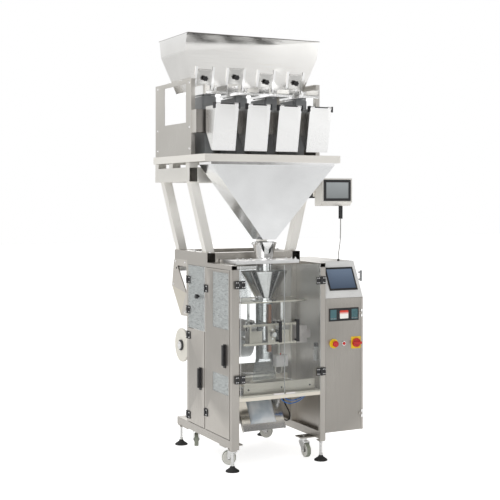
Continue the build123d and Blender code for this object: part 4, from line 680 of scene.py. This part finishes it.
def louvre(bm, centre, along, out, up, half=45.0):
    """A pressed louvre: a half-round hood open below."""
    grid = []
    for row in range(LOUVRE_ROWS + 1):
        angle = math.pi * 0.5 * row / LOUVRE_ROWS
        depth = LOUVRE_DEPTH * math.sin(angle)
        rise = LOUVRE_RISE * math.cos(angle)
        line = []
        for column in range(LOUVRE_COLUMNS + 1):
            t = -1 + 2 * column / LOUVRE_COLUMNS
            swell = math.sqrt(max(0.0, 1 - t ** 6))
            line.append(bm.verts.new((Vector(centre) + Vector(along) * (half * t)
                                      + Vector(out) * (0.3 + depth * swell)
                                      + Vector(up) * (rise * swell)) * MM))
        grid.append(line)
    join_rows(bm, grid)


CABINET_RIGHT = 633.0
LOUVRE_PITCH = 26.0
louvres = bmesh.new()
for column_y in (-190.0, 40.0):
    for row in range(7):
        for lowest in (360.0, 900.0):
            louvre(louvres, (CABINET_RIGHT, column_y, lowest + row * LOUVRE_PITCH),
                   (0, 1, 0), (1, 0, 0), (0, 0, 1))
add_piece("cabinet_louvres", louvres, "cabinet", "machine")


# ---- film web over its rollers, as (y, z) corners from the reel to the collar
WEB_CORNERS = [(501.0, 700.0), (476.5, 1261.5), (423.5, 1261.5), (368.5, 983.5), (335.5, 983.5),
               (265.3, 1248.3), (-143.0, 1251.0)]
WEB_RADII = [26.2, 26.2, 14.0, 14.0, 13.0]
FILM_HALF = 180.0
WEB_COLUMNS = 18


def rounded(corners, radii, step=math.radians(12)):
    """The path of a tight web: straight between rollers, an arc round each."""
    points = [Vector(corners[0])]
    for before, here, after, radius in zip(corners, corners[1:], corners[2:], radii):
        here = Vector(here)
        back = (Vector(before) - here).normalized()
        ahead = (Vector(after) - here).normalized()
        half = math.acos(max(-1.0, min(1.0, back.dot(ahead)))) / 2
        centre = here + (back + ahead).normalized() * (radius / math.sin(half))
        first = here + back * (radius / math.tan(half)) - centre
        last = here + ahead * (radius / math.tan(half)) - centre
        turn = first.angle(last)
        sign = 1 if first.x * last.y - first.y * last.x > 0 else -1
        count = max(2, int(turn / step))
        for number in range(count + 1):
            angle = sign * turn * number / count
            points.append(centre + Vector((first.x * math.cos(angle) - first.y * math.sin(angle),
                                           first.x * math.sin(angle) + first.y * math.cos(angle))))
    points.append(Vector(corners[-1]))
    return points


def subdivided(points, longest=22.0):
    """The same path with no step longer than this."""
    path = [points[0]]
    for here, after in zip(points, points[1:]):
        count = max(1, math.ceil((after - here).length / longest))
        path += [here.lerp(after, number / count) for number in range(1, count + 1)]
    return path


web_path = subdivided(rounded(WEB_CORNERS, WEB_RADII))
web = bmesh.new()
rows = []
for number, (y, z) in enumerate(web_path):
    row = []
    for column in range(WEB_COLUMNS + 1):
        across = -FILM_HALF + FILM_HALF * 2 * column / WEB_COLUMNS
        row.append(web.verts.new((across * MM, y * MM, z * MM)))
    rows.append(row)
join_rows(web, rows)
film_web = add_piece("film_web", web, "film", "machine")

# ---- film tube, round under the shelf and flat above the knife
SEAL_HALF_WIDTH = 85.6
SEAL_HALF_DEPTH = 0.4
TUBE_SIDES = 72
TUBE_ROWS = 60
tube = bmesh.new()
rows = []
for level in range(TUBE_ROWS + 1):
    z = SHELF - (SHELF - FILM_END) * level / TUBE_ROWS
    flatness = min(1.0, max(0.0, (TUBE_END - z) / (TUBE_END - SEAL_Z)))
    row = []
    for step in range(TUBE_SIDES):
        angle = 2 * math.pi * step / TUBE_SIDES
        half_width = TUBE_RADIUS + (SEAL_HALF_WIDTH - TUBE_RADIUS) * flatness
        half_depth = TUBE_RADIUS + (SEAL_HALF_DEPTH - TUBE_RADIUS) * flatness
        crease = noise.noise(Vector((math.cos(angle) * 3.0, math.sin(angle) * 3.0, z * 0.006)))
        swell = 0.35 + 0.3 * crease + 3.0 * crease * flatness * (1 - flatness) * 4.0
        row.append(tube.verts.new((
            (half_width + swell * (1 - flatness)) * math.cos(angle) * MM,
            (BODY_Y + (half_depth + swell * (1 - flatness)) * math.sin(angle)) * MM,
            z * MM)))
    rows.append(row)
join_rings(tube, rows)
film_tube = add_piece("film_tube", tube, "film", "machine")
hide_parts("packaging_film")

# ---- filled bag on the chute
CHUTE_MIDDLE = Vector((-25.0, -220.0, 332.5))
CHUTE_OUT = Vector((0.0, -0.8682, 0.4961))
CHUTE_UP = Vector((0.0, 0.4961, 0.8682))
BAG_HALF = 94.0
BAG_FILL = 27.0                 # added between the skins in the bag's middle
SEAL_THICK = 0.9                # between the skins at the end seals
CRIMP = 0.88                    # the end seals start here, as a part of half the length
BAG_ROWS = 48
BAG_COLUMNS = 40


def bag_height(u, v):
    """How far the bag's skins stand apart at -1..1 across and along."""
    if abs(v) > CRIMP:
        return SEAL_THICK
    along = 1 - (abs(v) / CRIMP) ** 3
    side = 1 - abs(u) ** 3.5
    return SEAL_THICK + BAG_FILL * math.sqrt(max(0.0, along * side))


bag = bmesh.new()
skins = []
for top in (0, 1):
    grid = []
    for row in range(BAG_ROWS + 1):
        v = -1 + 2 * row / BAG_ROWS
        line = []
        for column in range(BAG_COLUMNS + 1):
            u = -1 + 2 * column / BAG_COLUMNS
            height = bag_height(u, v)
            pinch = 1 - 0.05 * (1 - abs(v)) ** 0.5 * abs(u) ** 2
            fold = noise.noise(Vector((u * 5.0, v * 1.4, 4.0 + top)))
            pleat = math.sin(u * 23.0 + 2.0 * fold) * max(0.0, abs(v) - 0.35) * 1.6
            lift = 3.2 + top * (height + (fold * 2.2 + pleat) * min(1.0, height / 10.0))
            if abs(v) > CRIMP:
                lift += 0.35 * math.sin(v * 260.0)
            place = (CHUTE_MIDDLE + Vector((u * BAG_HALF * pinch, 0, 0)) + CHUTE_UP * (v * BAG_HALF)
                     + CHUTE_OUT * lift)
            line.append(bag.verts.new(place * MM))
        grid.append(line)
    join_rows(bag, grid)
    skins.append(grid)
rims = []
for grid in skins:
    rims.append(grid[0] + [line[-1] for line in grid[1:]] + grid[-1][-2::-1]
                + [line[0] for line in grid[-2:0:-1]])
count = len(rims[0])
for number in range(count):
    after = (number + 1) % count
    bag.faces.new((rims[0][number], rims[0][after], rims[1][after], rims[1][number]))
filled_bag = add_piece("filled_bag", bag, "bag", "machine")


# ---- cords: smooth lines through the same routes as their solids
def cord(name, route, diameter, material, node):
    curve = bpy.data.curves.new(name, "CURVE")
    curve.dimensions = "3D"
    curve.bevel_depth = diameter * MM / 2
    curve.bevel_resolution = 4
    curve.use_fill_caps = True
    spline = curve.splines.new("NURBS")
    spline.points.add(len(route) - 1)
    for point, place in zip(spline.points, route):
        point.co = (*(value * MM for value in place), 1.0)
    spline.order_u = 3
    spline.use_endpoint_u = True
    spline.resolution_u = 12
    curve.materials.append(M[material])
    piece = bpy.data.objects.new(name, curve)
    bpy.context.scene.collection.objects.link(piece)
    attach(piece, "machine")
    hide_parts(node)


BAR_BACK = -410.0               # the crossbar's rear face, where the air tubes leave
cord("upper_air_tube", [
    (60, BAR_BACK, 452), (60, BAR_BACK + 24, 452), (68, BAR_BACK + 46, 440),
    (86, BAR_BACK + 58, 420), (112, BAR_BACK + 66, 404), (144, BAR_BACK + 69, 397),
    (176, BAR_BACK + 66, 400), (204, BAR_BACK + 58, 412), (224, BAR_BACK + 46, 430),
    (232, BAR_BACK + 26, 446), (232, BAR_BACK, 446),
], 6.0, "blue", "air_tubes")
cord("lower_air_tube", [
    (44, BAR_BACK, 446), (44, BAR_BACK + 26, 446), (52, BAR_BACK + 54, 430),
    (72, BAR_BACK + 72, 406), (102, BAR_BACK + 82, 384), (140, BAR_BACK + 86, 373),
    (178, BAR_BACK + 82, 378), (212, BAR_BACK + 72, 394), (236, BAR_BACK + 58, 420),
    (246, BAR_BACK + 29, 442), (246, BAR_BACK, 442),
], 6.0, "blue", "air_tubes")
cord("jaw_cable", [
    (206, -30, 440), (206, -30, 404), (198, -48, 372), (186, -82, 346), (174, -118, 320),
    (165, -146, 288), (168, -160, 252), (190, -166, 228), (218, -162, 226), (238, -150, 246),
    (243, -126, 276), (240, -94, 304), (238, -62, 332), (238, -38, 366), (239, -29, 402),
    (239, -29, 440),
], 9.0, "black", "cable_loop")
cord("display_lead", [
    (575, -250, 1585), (575, -250, 1540), (572, -254, 1482), (564, -262, 1424),
    (550, -272, 1376), (538, -281, 1344), (538, -281, 1312),
], 6.0, "cable_grey", "display_cable")

# ---- floor, lights, world and camera, in metres
MIDDLE = (0.0, 0.0, 1.3)
FLOOR_HALF = 30.0
floor_mesh = bpy.data.meshes.new("studio_floor")
floor_mesh.from_pydata([(-FLOOR_HALF, -FLOOR_HALF, 0), (FLOOR_HALF, -FLOOR_HALF, 0),
                        (FLOOR_HALF, FLOOR_HALF, 0), (-FLOOR_HALF, FLOOR_HALF, 0)], [], [(0, 1, 2, 3)])
floor = bpy.data.objects.new("studio_floor", floor_mesh)
bpy.context.scene.collection.objects.link(floor)
floor_mesh.materials.append(M["floor"])
floor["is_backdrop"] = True


def light(name, place, width, height, power):
    """A rectangular lamp that faces the machine's middle, in metres and watts."""
    data = bpy.data.lights.new(name, "AREA")
    data.shape = "RECTANGLE"
    data.size = width
    data.size_y = height
    data.energy = power
    lamp = bpy.data.objects.new(name, data)
    lamp.location = place
    lamp.rotation_euler = (Vector(MIDDLE) - Vector(place)).to_track_quat("-Z", "Y").to_euler()
    bpy.context.scene.collection.objects.link(lamp)


light("key_light", (-4.5, -4.0, 4.2), 3.8, 3.8, 52)
light("fill_light", (3.8, -5.0, 2.4), 2.2, 3.2, 14)
light("front_light", (-2.4, -5.9, 1.9), 4.4, 4.4, 56)
light("top_light", (0.0, 0.5, 5.6), 3.0, 3.0, 30)
light("back_light", (2.0, 5.0, 3.2), 3.0, 3.0, 30)

SIDE_SHARE = 0.26               # how much the direction counts in the world's tone
PATCH_SHARE = 1.3               # how much the patches count
world = bpy.data.worlds.new("studio")
bpy.context.scene.world = world
world.use_nodes = True
nodes = world.node_tree.nodes
links = world.node_tree.links
background = nodes["Background"]
direction = nodes.new("ShaderNodeTexCoord")


def world_math(operation, first, second):
    node = nodes.new("ShaderNodeMath")
    node.operation = operation
    for socket, value in zip(node.inputs, (first, second)):
        if isinstance(value, (int, float)):
            socket.default_value = value
        else:
            links.new(value, socket)
    return node.outputs["Value"]


# pale towards the left rear, dimmer towards the right front, with broad soft patches
towards = nodes.new("ShaderNodeVectorMath")
towards.operation = "DOT_PRODUCT"
towards.inputs[1].default_value = (-0.45, 0.85, 0.25)
links.new(direction.outputs["Generated"], towards.inputs[0])
patches = nodes.new("ShaderNodeTexNoise")
patches.inputs["Scale"].default_value = 2.3
patches.inputs["Detail"].default_value = 1.5
links.new(direction.outputs["Generated"], patches.inputs["Vector"])
level = world_math("ADD", world_math("MULTIPLY", towards.outputs["Value"], SIDE_SHARE),
                   world_math("MULTIPLY", patches.outputs["Fac"], PATCH_SHARE))
tone = nodes.new("ShaderNodeValToRGB")
tone.color_ramp.elements[0].position = 0.33
tone.color_ramp.elements[0].color = (0.09, 0.085, 0.08, 1)
tone.color_ramp.elements[1].position = 0.92
tone.color_ramp.elements[1].color = (0.86, 0.86, 0.85, 1)
links.new(level, tone.inputs["Fac"])
seen = nodes.new("ShaderNodeLightPath")
choose = nodes.new("ShaderNodeMix")
choose.data_type = "RGBA"
sockets = [i for i in choose.inputs if i.type == "RGBA"]
sockets[1].default_value = (1.0, 1.0, 1.0, 1)
links.new(seen.outputs["Is Camera Ray"], choose.inputs["Factor"])
links.new(tone.outputs["Color"], sockets[0])
links.new([o for o in choose.outputs if o.type == "RGBA"][0], background.inputs["Color"])
background.inputs["Strength"].default_value = 1.0

camera_data = bpy.data.cameras.new("camera")
camera = bpy.data.objects.new("camera", camera_data)
bpy.context.scene.collection.objects.link(camera)
bpy.context.scene.camera = camera
camera.location = (-3.2475, -6.4732, 1.7466)
camera.rotation_euler = (math.radians(90.0), 0.0, math.radians(-26.7))
camera_data.lens = 76.7
camera_data.sensor_width = 36.0
camera_data.shift_y = -0.110
camera_data.clip_end = 100.0
bpy.context.scene.view_settings.view_transform = "Standard"

low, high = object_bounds()
